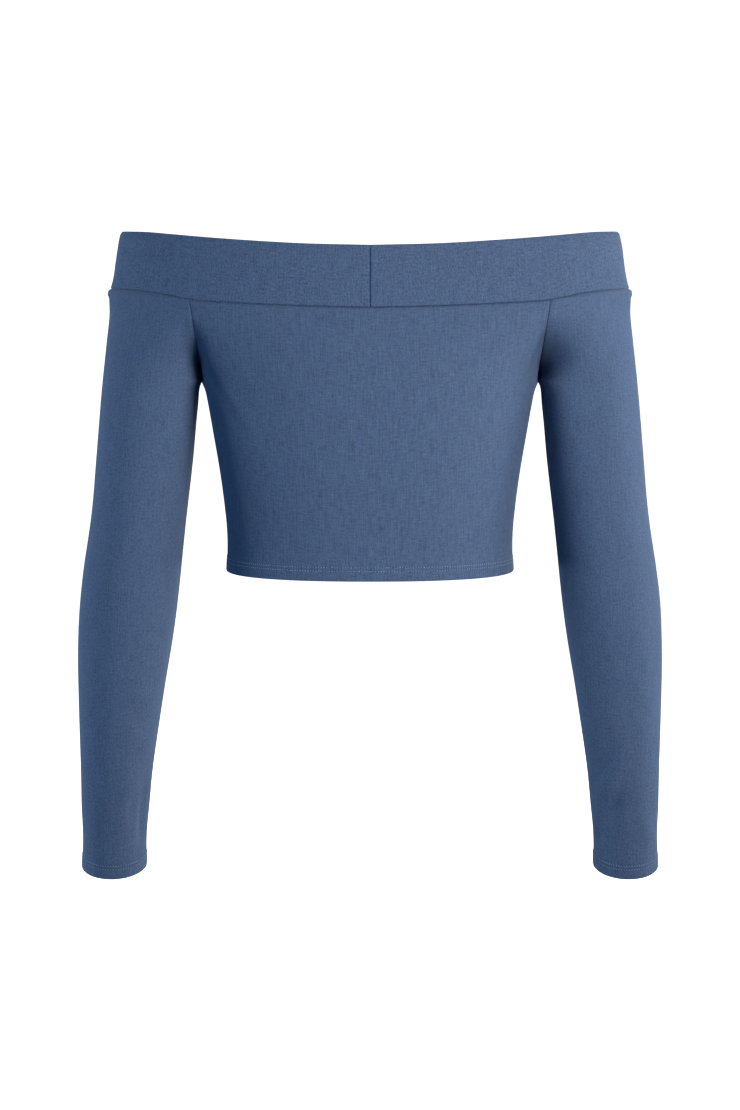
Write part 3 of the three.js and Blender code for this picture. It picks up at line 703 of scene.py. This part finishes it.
# %% The quads of a shell
def shell_quads(rows, columns, turned):
    """Quads of both layers and of the four rims, as corner numbers, all facing outwards."""
    index = np.arange(rows * columns).reshape(rows, columns)
    corners = (index[:-1, :-1], index[1:, :-1], index[1:, 1:], index[:-1, 1:])
    outer = np.stack(corners, axis=-1).reshape(-1, 4)
    inner = outer[:, ::-1] + index.size
    sides = (index[:-1, 0], index[-1, :-1], index[:0:-1, -1], index[0, :0:-1])
    loop = np.concatenate(sides)
    after = np.roll(loop, -1)
    rim = np.stack([loop, loop + index.size, after + index.size, after], axis=-1)
    quads = np.concatenate([outer, inner, rim])
    return quads if turned > 0 else quads[:, ::-1]


# %% A mesh from arrays
def mesh_object(name, points, quads, grain):
    """A smooth-shaded object from points in millimetres, quads and grain coordinates."""
    mesh = bpy.data.meshes.new(name)
    mesh.vertices.add(len(points))
    mesh.vertices.foreach_set("co", (points * MM).astype(np.float32).ravel())
    mesh.loops.add(quads.size)
    mesh.loops.foreach_set("vertex_index", quads.astype(np.int32).ravel())
    mesh.polygons.add(len(quads))
    mesh.polygons.foreach_set("loop_start", np.arange(0, quads.size, 4, dtype=np.int32))
    mesh.polygons.foreach_set("use_smooth", np.ones(len(quads), dtype=bool))
    uv = mesh.uv_layers.new(name="grain")
    uv.data.foreach_set("uv", (grain[quads.ravel()] * MM).astype(np.float32).ravel())
    mesh.update(calc_edges=True)
    mesh.validate()
    piece = bpy.data.objects.new(name, mesh)
    bpy.context.collection.objects.link(piece)
    return piece


# %% A shell of cloth and its area
def cloth_shell(name, net, heights, wall):
    """The shell of a net: heights move its outer layer out, and the wall is its thickness."""
    outer = net["points"] + net["normals"] * heights[:, :, None]
    inner = outer - net["normals"] * wall[:, :, None]
    rows, columns = heights.shape
    points = np.concatenate([outer.reshape(-1, 3), inner.reshape(-1, 3)])
    grain = np.stack([net["across"], -net["top"]], axis=2).reshape(-1, 2)
    quads = shell_quads(rows, columns, net["turned"])
    net["outer"] = outer
    piece = mesh_object(name, points, quads, np.concatenate([grain, grain]))
    shade = piece.data.attributes.new("seam_shade", "FLOAT", "POINT")
    shade.data.foreach_set("value", np.tile(net["shade"].ravel(), 2).astype(np.float32))
    print(f"{name}: {rows} rows, {columns} columns, {2 * len(quads)} triangles")
    return piece


def layer_area(net):
    """Area of the outer layer in square metres: half the cross product of each quad's diagonals."""
    points = net["points"] * MM
    first = points[1:, 1:] - points[:-1, :-1]
    second = points[1:, :-1] - points[:-1, 1:]
    return float(np.linalg.norm(np.cross(first, second), axis=2).sum() / 2)


# %% [markdown]
# ## Cutting out the pieces
#
# Each panel now gets its own heights. The neck seam's allowance is pressed down under the body and
# the sleeves, where it makes the ridge that runs all round the top just below the band, and stands
# out most over the arms.

# %% What every panel has
STEP = {"body": 2.0, "sleeve": 2.2, "neck_band": 2.6}
NECK_RIDGE = 0.9
NECK_RIDGE_WIDTH = 5.2
SIDE_RIDGE_WIDTH = 4.5


def panel_net(guides, turned, outward, armpit, step):
    """A net with a hem below and seams on its other edges, sunk at the armpit."""
    net = fine_net(guides, turned, (SEAM_PLACES, HEM_PLACES), (SEAM_PLACES, SEAM_PLACES), step)
    sink_armpit(net, **armpit)
    add_normals(net, outward)
    return net


def panel_heights(net, neck_ridge, side_ridge, fold_table):
    """The rolls and ridges of the seams, the hem with its rounded edge and the soft folds, added."""
    return (seam_roll(net["top"]) + allowance(net["top"], neck_ridge, NECK_RIDGE_WIDTH)
            + seam_roll(net["beside"]) + allowance(net["beside"], side_ridge, SIDE_RIDGE_WIDTH)
            + hem_relief(net["bottom"]) - rounded(net["bottom"], 2 * CLOTH)
            + folds(fold_table, net))


def wall_with_hem(net):
    """One layer of cloth, and two in the turned-up hem, rounded at the folded edge."""
    double = 1 - smooth_step(net["bottom"], HEM_DEPTH - HEM_STEP_WIDTH, HEM_DEPTH)
    wall = CLOTH * (1 + double)
    return wall - 2 * rounded(net["bottom"], 2 * CLOTH)


# %% Cutting out one piece
nets, cloths = {}, {}


def cut_out(name, net, heights, wall, armpit=0.0):
    """Keeps the net of a piece with its shade, and makes the cloth from it."""
    net["shade"] = seam_shade(net, armpit)
    nets[name] = net
    cloths[name] = cloth_shell(name + "_cloth", net, heights, wall)
    print(f"{name}: {layer_area(net):.4f} square metres")


# %% The front and the back
SIDE_RIDGE = {"front": 0.12, "back": 0.35}
FACE_TURNED = {"front": 1, "back": -1}
for face in FACES:
    net = panel_net(body_guides(face), FACE_TURNED[face], 1, BODY_ARMPIT, STEP["body"])
    heights = panel_heights(net, NECK_RIDGE, SIDE_RIDGE[face], BODY_FOLDS[face])
    cut_out(face, net, heights, wall_with_hem(net), ARMPIT_SHADE["body"])

# %% The sleeves
ARM_RIDGE = 1.5
ARM_RIDGE_REACH = 62.0
ARMHOLE_RIDGE = 0.3
SIDES = {"left": 1, "right": -1}
for side, sign in SIDES.items():
    net = panel_net(sleeve_guides(sign), sign, -1, SLEEVE_ARMPIT[side], STEP["sleeve"])
    neck_ridge = mix(NECK_RIDGE, ARM_RIDGE, bell(net["across"], ARM_RIDGE_REACH))
    heights = panel_heights(net, neck_ridge, ARMHOLE_RIDGE, SLEEVE_FOLDS[side])
    cut_out("sleeve_" + side, net, heights, wall_with_hem(net), ARMPIT_SHADE[side])

# %% [markdown]
# The body and the sleeves are worked out apart, and their edges then roll in and sink at the armpit.
# A seam that opens would show as a bright slit, so the two edges are measured against each other:
# at the same height, how far is one from the other? The lap of both, which closes the seam, is part
# of that distance.

# %% How near the edges of the armhole seams lie
MEASURED_FROM_Z, MEASURED_TO_Z = -40.0, -100.0


def farthest_apart(first, second):
    """The most that two edges lie apart in x and y at the same heights."""
    at = first[(first[:, 2] < MEASURED_FROM_Z) & (first[:, 2] > MEASURED_TO_Z)]
    second = second[np.argsort(second[:, 2])]
    apart = [np.interp(at[:, 2], second[:, 2], second[:, k]) - at[:, k] for k in (0, 1)]
    return float(np.hypot(*apart).max())


for face, sleeve_column in (("front", 0), ("back", -1)):
    for side, body_column in (("left", -1), ("right", 0)):
        body_edge = nets[face]["outer"][:, body_column]
        sleeve_edge = nets["sleeve_" + side]["outer"][:, sleeve_column]
        print(f"{face} and sleeve_{side}: {farthest_apart(body_edge, sleeve_edge):.2f} mm apart at most")

# %% [markdown]
# The band has no hem. Its lower edge is the neck seam and its upper one the fold, which the arms
# stretch and round off. Its folds run along it, because it is pulled lengthwise.

# %% The neck band
FRONT_SEAM_RIDGE = 0.15
ARM_FOLD_ROUND = 1.3
ARM_FOLD_WIDTH = 2.2
ARM_FOLD_REACH = 45.0
net = fine_net(band_guides(), -1, (SEAM_PLACES, FOLD_PLACES), (SEAM_PLACES, SEAM_PLACES), STEP["neck_band"])
net["across"] = np.broadcast_to(net["across"].mean(axis=0), net["across"].shape)
add_normals(net)
square_ends(net)
at_arm = bell(net["points"][:, :, 1], ARM_FOLD_REACH)
heights = (seam_roll(net["top"]) + seam_roll(net["beside"])
           + allowance(net["beside"], FRONT_SEAM_RIDGE, SIDE_RIDGE_WIDTH)
           - rounded(net["bottom"], 2 * CLOTH)
           - ARM_FOLD_ROUND * at_arm * bell(net["bottom"], ARM_FOLD_WIDTH)
           + folds(BAND_FOLDS, net))
cut_out("neck_band", net, heights, 2 * CLOTH - 2 * rounded(net["bottom"], 2 * CLOTH))

# %% [markdown]
# ## Stitches
#
# The hem and the cuffs are held by two parallel rows of straight stitches, made by a twin needle.
# Each stitch is a short arc of thread that dives into the cloth at both ends. One arc is a tube on a
# small grid, and copies of it are set along the row, each turned to the cloth under it, all in one
# mesh.

# %% One stitch
STITCH_PITCH = 2.4
STITCH_LENGTH = 1.5
THREAD_RADIUS = 0.29
THREAD_LIFT = 0.2
TIP_SHARE = 0.35
TIP_POWER = 0.6
TUBE_RINGS = 7
TUBE_SIDES = 6


def stitch_shape():
    """A tube along a low arch: its height is a half sine, and its radius shrinks at both ends."""
    along = np.linspace(0, 1, TUBE_RINGS)[:, None]
    round_it = np.linspace(0, 2 * np.pi, TUBE_SIDES, endpoint=False)[None, :]
    radius = THREAD_RADIUS * mix(TIP_SHARE, 1, np.sin(np.pi * along) ** TIP_POWER)
    forward = (along - 0.5) * STITCH_LENGTH + 0 * round_it
    sideways = radius * np.cos(round_it)
    lift = THREAD_LIFT * np.sin(np.pi * along) + radius * np.sin(round_it)
    return np.stack([forward, sideways, lift], axis=2).reshape(-1, 3)


def stitch_quads():
    """Quads round the tube from ring to ring, with both ends closed by two quads each."""
    index = np.arange(TUBE_RINGS * TUBE_SIDES).reshape(TUBE_RINGS, TUBE_SIDES)
    beside = np.roll(index, -1, axis=1)
    tube = np.stack([index[:-1], index[1:], beside[1:], beside[:-1]], axis=-1).reshape(-1, 4)
    start, end = index[0], index[-1]
    caps = [[start[0], start[1], start[2], start[3]], [start[0], start[3], start[4], start[5]],
            [end[3], end[2], end[1], end[0]], [end[5], end[4], end[3], end[0]]]
    return np.concatenate([tube, np.array(caps)])


# %% The painted shade of one needle hole
HOLE_RADIUS = 0.58
HOLE_LIFT = 0.06
HOLE_CORNERS = 8
HOLE_QUADS = np.array([[0, 1, 2, 3], [0, 3, 4, 7], [4, 5, 6, 7]])


def hole_shape():
    """A flat dark octagon between two stitches, lifted just above the cloth: painted shade where the thread
    dives into a needle hole.
    """
    corner = np.linspace(0, 2 * np.pi, HOLE_CORNERS, endpoint=False)
    forward = STITCH_PITCH / 2 + HOLE_RADIUS * np.cos(corner)
    return np.stack([forward, HOLE_RADIUS * np.sin(corner), np.full(HOLE_CORNERS, HOLE_LIFT)], axis=1)


# %% The places of the stitches
def row_frames(net, distance):
    """Stitch centres at one pitch along the row at a distance from the hem, with the directions
    along the row, out of the cloth and square to both."""
    row = int(np.argmin(np.abs(net["bottom"].mean(axis=1) - distance)))
    walked = net["left"][row]
    count = int(walked[-1] / STITCH_PITCH)
    at = (np.arange(count) + 0.5) * walked[-1] / count

    def along_row(values):
        return np.stack([np.interp(at, walked, values[row, :, k]) for k in range(3)], axis=1)

    centres, normal = along_row(net["outer"]), unit(along_row(net["normals"]))
    tangent = np.gradient(centres, axis=0)
    tangent = unit(tangent - normal * (tangent * normal).sum(axis=1, keepdims=True))
    return centres, tangent, np.cross(normal, tangent), normal


# %% Rows of thread and of the painted shade of needle holes
def set_along(name, frames, shape, quads):
    """One mesh with a copy of the shape on every frame."""
    centres, tangent, side, normal = frames
    points = (centres[:, None] + shape[None, :, :1] * tangent[:, None]
              + shape[None, :, 1:2] * side[:, None] + shape[None, :, 2:] * normal[:, None])
    copies = quads[None] + (np.arange(len(centres)) * len(shape))[:, None, None]
    grain = np.tile(shape[:, :2], (len(centres), 1))
    return mesh_object(name, points.reshape(-1, 3), copies.reshape(-1, 4), grain)


def sewn_rows(name, net):
    """The thread of both rows of a hem and the dark discs of painted shade at their needle holes, as two
    meshes.
    """
    rows = [row_frames(net, distance) for distance in STITCH_ROWS]
    frames = [np.concatenate(parts) for parts in zip(*rows)]
    print(f"{name}: {len(frames[0])} stitches")
    return [set_along(f"{name}_stitches", frames, stitch_shape(), stitch_quads()),
            set_along(f"{name}_hole_shades", frames, hole_shape(), HOLE_QUADS)]


HEM_NAMES = {"front": "front_hem", "back": "back_hem",
             "sleeve_left": "cuff_left", "sleeve_right": "cuff_right"}
sewing = {name: sewn_rows(hem, nets[name]) for name, hem in HEM_NAMES.items()}

# %% [markdown]
# ## The jersey
#
# The cloth is a fine knit of melange yarn, in which darker and paler fibres are spun together. Seen
# from a step away it is not one blue: it is mottled, with faint uneven streaks along the wales (the
# upright columns of loops) and finer ones along the courses. The knit group mixes noise that is drawn
# out along each of these, and the same noise gives the height for the bump.
# Where a net keeps a shade, the colour sinks towards a deep blue: painted shade.

# %% Helpers for shader nodes
def node(tree, kind, **values):
    """A new node with its properties set by name."""
    made = tree.nodes.new(kind)
    for key, value in values.items():
        setattr(made, key, value)
    return made


def socket_value(made, **values):
    """Sets a node's inputs by name, with spaces written as underscores."""
    for key, value in values.items():
        made.inputs[key.replace("_", " ")].default_value = value


def math_node(tree, operation, first, second=None, third=None):
    """A Math node fed by sockets or plain numbers."""
    made = node(tree, "ShaderNodeMath", operation=operation)
    for slot_number, source in enumerate((first, second, third)):
        if source is None:
            continue
        if isinstance(source, (int, float)):
            made.inputs[slot_number].default_value = source
        else:
            tree.links.new(source, made.inputs[slot_number])
    return made.outputs[0]


# %% Noise drawn out along the grain
NOISE_ROUGHNESS = 0.6
KNIT_NOISE = {
    "wales": {"cell": (0.0013, 0.022), "detail": 2.0, "place": 3.1},
    "fine_wales": {"cell": (0.0009, 0.007), "detail": 2.0, "place": 7.7},
    "courses": {"cell": (0.009, 0.0012), "detail": 2.0, "place": 5.3},
    "fibres": {"cell": (0.0013, 0.0021), "detail": 2.0, "place": 1.9},
    "clouds": {"cell": (0.013, 0.016), "detail": 3.0, "place": 9.2},
}


def drawn_noise(tree, grain, cell, detail, place):
    """Noise with one cell every so many metres across and down the grain, about 0 on average. The
    place moves it along, so that no two noises agree."""
    mapping = node(tree, "ShaderNodeMapping")
    socket_value(mapping, Scale=(1 / cell[0], 1 / cell[1], 1.0), Location=(place, 2 * place, 0))
    tree.links.new(grain, mapping.inputs["Vector"])
    noise = node(tree, "ShaderNodeTexNoise", noise_dimensions="2D")
    socket_value(noise, Scale=1.0, Detail=detail, Roughness=NOISE_ROUGHNESS)
    tree.links.new(mapping.outputs["Vector"], noise.inputs["Vector"])
    return math_node(tree, "SUBTRACT", noise.outputs[0], 0.5)


# %% The knit as a shader group
FINE_WALES_SHARE = 0.6
CLOUDS_SHARE = 0.12
BUMP_SHARE = 0.4
KNIT_INPUTS = {
    "Grain": "NodeSocketVector", "Base Color": "NodeSocketColor", "Wales": "NodeSocketFloat",
    "Courses": "NodeSocketFloat", "Heather": "NodeSocketFloat", "Shade": "NodeSocketFloat",
    "Valley Color": "NodeSocketColor",
}
KNIT_OUTPUTS = {"Color": "NodeSocketColor", "Height": "NodeSocketFloat"}
MIX_FACTOR, MIX_FIRST_COLOUR, MIX_SECOND_COLOUR, MIXED_COLOUR = 0, 6, 7, 2


def jersey_group():
    """The knit: a colour that varies round the base one and sinks with the shade to a deep blue,
    which is painted shade, and a height for the bump."""
    tree = bpy.data.node_groups.new("jersey_knit", "ShaderNodeTree")
    for in_out, sockets in (("INPUT", KNIT_INPUTS), ("OUTPUT", KNIT_OUTPUTS)):
        for name, kind in sockets.items():
            tree.interface.new_socket(name, in_out=in_out, socket_type=kind)
    given = node(tree, "NodeGroupInput")
    result = node(tree, "NodeGroupOutput")
    grain = given.outputs["Grain"]
    noise = {name: drawn_noise(tree, grain, **values) for name, values in KNIT_NOISE.items()}
    upright = math_node(tree, "MULTIPLY_ADD", noise["fine_wales"], FINE_WALES_SHARE, noise["wales"])
    mottle = math_node(tree, "MULTIPLY_ADD", noise["clouds"], CLOUDS_SHARE, noise["fibres"])
    tone = math_node(tree, "MULTIPLY", upright, given.outputs["Wales"])
    tone = math_node(tree, "MULTIPLY_ADD", noise["courses"], given.outputs["Courses"], tone)
    tone = math_node(tree, "MULTIPLY_ADD", mottle, given.outputs["Heather"], tone)
    tone = math_node(tree, "ADD", tone, 1.0)
    toned = node(tree, "ShaderNodeVectorMath", operation="SCALE")
    tree.links.new(given.outputs["Base Color"], toned.inputs[0])
    tree.links.new(tone, toned.inputs["Scale"])
    # Painted shade: the Mix node turns the colour towards a deep blue by the seam and armpit shade.
    valley = node(tree, "ShaderNodeMix", data_type="RGBA")
    tree.links.new(given.outputs["Shade"], valley.inputs[MIX_FACTOR])
    tree.links.new(toned.outputs[0], valley.inputs[MIX_FIRST_COLOUR])
    tree.links.new(given.outputs["Valley Color"], valley.inputs[MIX_SECOND_COLOUR])
    tree.links.new(valley.outputs[MIXED_COLOUR], result.inputs["Color"])
    height = math_node(tree, "MULTIPLY_ADD", upright, BUMP_SHARE, noise["fibres"])
    height = math_node(tree, "MULTIPLY_ADD", noise["courses"], BUMP_SHARE, height)
    tree.links.new(height, result.inputs["Height"])
    return tree


jersey_knit = jersey_group()
print("knit group:", len(jersey_knit.nodes), "nodes")

# %% [markdown]
# A material holds one shader and one copy of the knit group. The base colour is the dusty denim blue
# of the slot. Jersey is matt: its roughness is high, and a little sheen stands for the fine fibre
# ends that catch the light where the cloth turns away.

# %% The colours and the finish of the jersey
JERSEY_BLUE = (0.102, 0.156, 0.270, 1.0)
# The deep blue of the painted shade in the seams and under the arms.
PAINTED_SHADE_BLUE = (0.012, 0.033, 0.092, 1.0)
# The thread is lighter than the jersey: painted highlight where the raised stitches catch the light.
THREAD_HIGHLIGHT_BLUE = (0.34, 0.43, 0.58, 1.0)
# The near-black blue of the discs of painted shade in the needle holes.
HOLE_SHADE_BLUE = (0.03, 0.05, 0.10, 1.0)
SHEEN_BLUE = (0.62, 0.74, 0.92, 1.0)
SHEEN = 0.35
SHEEN_ROUGHNESS = 0.4
CLOTH_ROUGHNESS = 0.88
CLOTH_SPECULAR = 0.25
BUMP_STRENGTH = 0.5

# %% A cloth material
def cloth_material(name, colour, wales, courses, heather, bump_distance):
    """Principled cloth with the knit group on its colour and bump."""
    material = bpy.data.materials.new(name)
    material.use_nodes = True
    tree = material.node_tree
    shader = tree.nodes["Principled BSDF"]
    socket_value(shader, Roughness=CLOTH_ROUGHNESS, Specular_IOR_Level=CLOTH_SPECULAR,
                 Sheen_Weight=SHEEN, Sheen_Roughness=SHEEN_ROUGHNESS, Sheen_Tint=SHEEN_BLUE)
    knit = node(tree, "ShaderNodeGroup", node_tree=jersey_knit)
    socket_value(knit, Base_Color=colour, Valley_Color=PAINTED_SHADE_BLUE, Wales=wales, Courses=courses,
                 Heather=heather)
    grain = node(tree, "ShaderNodeUVMap", uv_map="grain")
    tree.links.new(grain.outputs["UV"], knit.inputs["Grain"])
    # The seam_shade attribute carries the painted shade of the seams and the armpits.
    shade = node(tree, "ShaderNodeAttribute", attribute_name="seam_shade")
    tree.links.new(shade.outputs["Fac"], knit.inputs["Shade"])
    tree.links.new(knit.outputs["Color"], shader.inputs["Base Color"])
    bump = node(tree, "ShaderNodeBump")
    socket_value(bump, Strength=BUMP_STRENGTH, Distance=bump_distance)
    tree.links.new(knit.outputs["Height"], bump.inputs["Height"])
    tree.links.new(bump.outputs["Normal"], shader.inputs["Normal"])
    return material


# %% [markdown]
# The three jerseys differ in how plainly the wales, the courses and the melange show, and in how deep
# the relief is. The body is stretched widest, so its courses show most, and the band is the most
# mottled. The thread, lightened as a painted highlight, and the dark discs of painted shade in the
# needle holes are nearly plain.

# %% The jerseys, the thread and the painted shade of the needle holes
FINISHES = {
    "body_jersey": (JERSEY_BLUE, 0.62, 0.62, 0.6, 0.0003),
    "sleeve_jersey": (JERSEY_BLUE, 0.42, 0.4, 0.85, 0.0002),
    "band_jersey": (JERSEY_BLUE, 0.5, 0.6, 1.1, 0.0003),
    "hem_thread": (THREAD_HIGHLIGHT_BLUE, 0.1, 0.1, 0.1, 0.0001),
    "hole_shade": (HOLE_SHADE_BLUE, 0.1, 0.1, 0.1, 0.0001),
}
materials = {name: cloth_material(name, *finish) for name, finish in FINISHES.items()}
print("materials:", list(materials))

# %% [markdown]
# ## Joining the pieces to the solids
#
# Each shell stands for the solid of the same cut piece, which is hidden. It takes the jersey listed
# for it, and the flat size it was cut to is listed with it too.

# %% Jerseys, sewn parts and replaced solids
CUTS = {
    "neck_band": {"jersey": "band_jersey", "flat": (1.07, 0.056), "area": None},
    "front": {"jersey": "body_jersey", "flat": (0.43, 0.262), "area": 0.0905},
    "back": {"jersey": "body_jersey", "flat": (0.40, 0.262), "area": 0.0855},
    "sleeve_left": {"jersey": "sleeve_jersey", "flat": (0.32, 0.576), "area": 0.134},
    "sleeve_right": {"jersey": "sleeve_jersey", "flat": (0.32, 0.576), "area": 0.134},
}
for name, cut in CUTS.items():
    cloth = cloths[name]
    cloth.data.materials.append(materials[cut["jersey"]])
    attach(cloth, "root")
    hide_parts(name)
    sewn = sewing.get(name, [])
    for part, finish in zip(sewn, ("hem_thread", "hole_shade")):
        part.data.materials.append(materials[finish])
        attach(part, "root")
    print(f"{name}: one cloth and {len(sewn)} sewn parts")

# %% [markdown]
# ## Floor, light and camera
#
# The top is shown as it hangs on a wearer, above a plain white floor. The floor bends up into a wall
# all round, in one bowl, so that no horizon shows from any side. It glows by itself, which keeps it
# evenly white, and is hidden from the cloth, which it neither lights nor shades.

# %% The floor and the backdrop in one bowl
FLOOR_Z = -900.0
FLOOR_RINGS = (0.0, 1400.0, 2800.0)
FLOOR_RADIUS = 4300.0
BEND_RADIUS = 900.0
WALL_TOP_Z = 3600.0
BEND_STEPS = 21


def bowl():
    """A square net of rings. The ring gives the place on a profile (flat floor, a quarter of a
    circle, an upright wall), and the direction from the middle gives the turn."""
    bend = np.linspace(0, np.pi / 2, BEND_STEPS)
    radius = np.concatenate([FLOOR_RINGS, FLOOR_RADIUS + BEND_RADIUS * np.sin(bend),
                             [FLOOR_RADIUS + BEND_RADIUS]])
    height = np.concatenate([np.full(len(FLOOR_RINGS), FLOOR_Z),
                             FLOOR_Z + BEND_RADIUS * (1 - np.cos(bend)), [WALL_TOP_Z]])
    number = np.arange(1 - len(radius), len(radius))
    u, v = np.meshgrid(number, number)
    ring, turn = np.maximum(np.abs(u), np.abs(v)), np.arctan2(v, u)
    points = np.stack([radius[ring] * np.cos(turn), radius[ring] * np.sin(turn), height[ring]], axis=2)
    index = np.arange(u.size).reshape(u.shape)
    quads = np.stack([index[:-1, :-1], index[:-1, 1:], index[1:, 1:], index[1:, :-1]], axis=-1)
    points = points.reshape(-1, 3)
    return mesh_object("floor", points, quads.reshape(-1, 4), points[:, :2])


floor = bowl()

# %% The white of the floor
FLOOR_WHITE = (0.9, 0.9, 0.9, 1.0)
GLOW_WHITE = (1.0, 1.0, 1.0, 1.0)
FLOOR_GLOW = 1.2
FLOOR_ROUGHNESS = 0.9
floor_white = bpy.data.materials.new("floor_white")
floor_white.use_nodes = True
socket_value(floor_white.node_tree.nodes["Principled BSDF"], Base_Color=FLOOR_WHITE,
             Roughness=FLOOR_ROUGHNESS, Emission_Color=GLOW_WHITE, Emission_Strength=FLOOR_GLOW)
floor.data.materials.append(floor_white)
floor.visible_diffuse = floor.visible_glossy = floor.visible_shadow = False

# %% [markdown]
# Five soft lights stand round the top, and the camera sees none of them. The key light stands at the
# right in front and is held to the chest by its narrow spread. A bluish fill stands at the left, so
# the shaded side keeps its colour, and three more behind the top draw the thin bright edges where
# the cloth turns away.

# %% A soft light
def facing(place, aim):
    """The turn that points a light or a camera from its place to what it is aimed at."""
    return (Vector(aim) - Vector(place)).to_track_quat("-Z", "Y").to_euler()


def soft_light(name, place, aim, size, power, colour):
    """A rectangular area light at a place, in metres, turned to the point it is aimed at."""
    data = bpy.data.lights.new(name, "AREA")
    data.shape = "RECTANGLE"
    data.size, data.size_y = size
    data.energy = power
    data.color = colour
    light = bpy.data.objects.new(name, data)
    light.location = place
    light.rotation_euler = facing(place, aim)
    light.visible_camera = False
    bpy.context.collection.objects.link(light)
    return light


# %% The five lights
CENTRE = (0.0, 0.0, -0.3)
CHEST = (0.0, 0.0, -0.08)
KEY_SPREAD = 50
LIGHTS = {
    "key": ((1.20, -1.60, -0.03), CHEST, (0.8, 1.08), 3.35, (1.0, 1.0, 1.0)),
    "fill": ((-1.68, -1.41, -0.11), CENTRE, (1.2, 1.62), 10, (0.35, 0.7, 1.0)),
    "edge_left": ((-2.09, 0.68, -0.2), CENTRE, (0.8, 1.08), 25, (0.82, 0.92, 1.0)),
    "edge_right": ((2.10, 0.6, -0.15), CENTRE, (0.8, 1.08), 24, (0.9, 0.96, 1.0)),
    "back": ((0.9, 2.1, 0.5), CENTRE, (1.4, 1.6), 26, (0.9, 0.95, 1.0)),
}
lights = {name: soft_light(name, *values) for name, values in LIGHTS.items()}
lights["key"].data.spread = np.radians(KEY_SPREAD)
print("lights:", {name: light.data.energy for name, light in lights.items()})

# %% The faint blue of the room
ROOM_BLUE = (0.25, 0.50, 1.0, 1.0)
ROOM_STRENGTH = 0.06
world = bpy.data.worlds.new("studio")
world.use_nodes = True
socket_value(world.node_tree.nodes["Background"], Color=ROOM_BLUE, Strength=ROOM_STRENGTH)
bpy.context.scene.world = world
bpy.context.scene.view_settings.view_transform = "Standard"

# %% [markdown]
# The camera stands at the height of the band and looks a little down at the middle of the top, on the
# same line of sight as in the photograph. It is far away and its lens is long, so that the sleeves,
# which are nearer to the edge of the picture, don't spread.

# %% The camera
CAMERA_PLACE = (0.0, -2.4, 0.010)
CAMERA_AIM = (0.0, 0.0, -0.269)
CAMERA_LENS = 85.18
SENSOR_WIDTH = 36.0
NEAREST, FARTHEST = 0.1, 40.0


def make_camera():
    """A camera on the photograph's line of sight, with no shift and no depth of field."""
    data = bpy.data.cameras.new("camera")
    data.lens = CAMERA_LENS
    data.sensor_width = SENSOR_WIDTH
    data.clip_start, data.clip_end = NEAREST, FARTHEST
    camera = bpy.data.objects.new("camera", data)
    camera.location = CAMERA_PLACE
    camera.rotation_euler = facing(CAMERA_PLACE, CAMERA_AIM)
    bpy.context.collection.objects.link(camera)
    bpy.context.scene.camera = camera


make_camera()
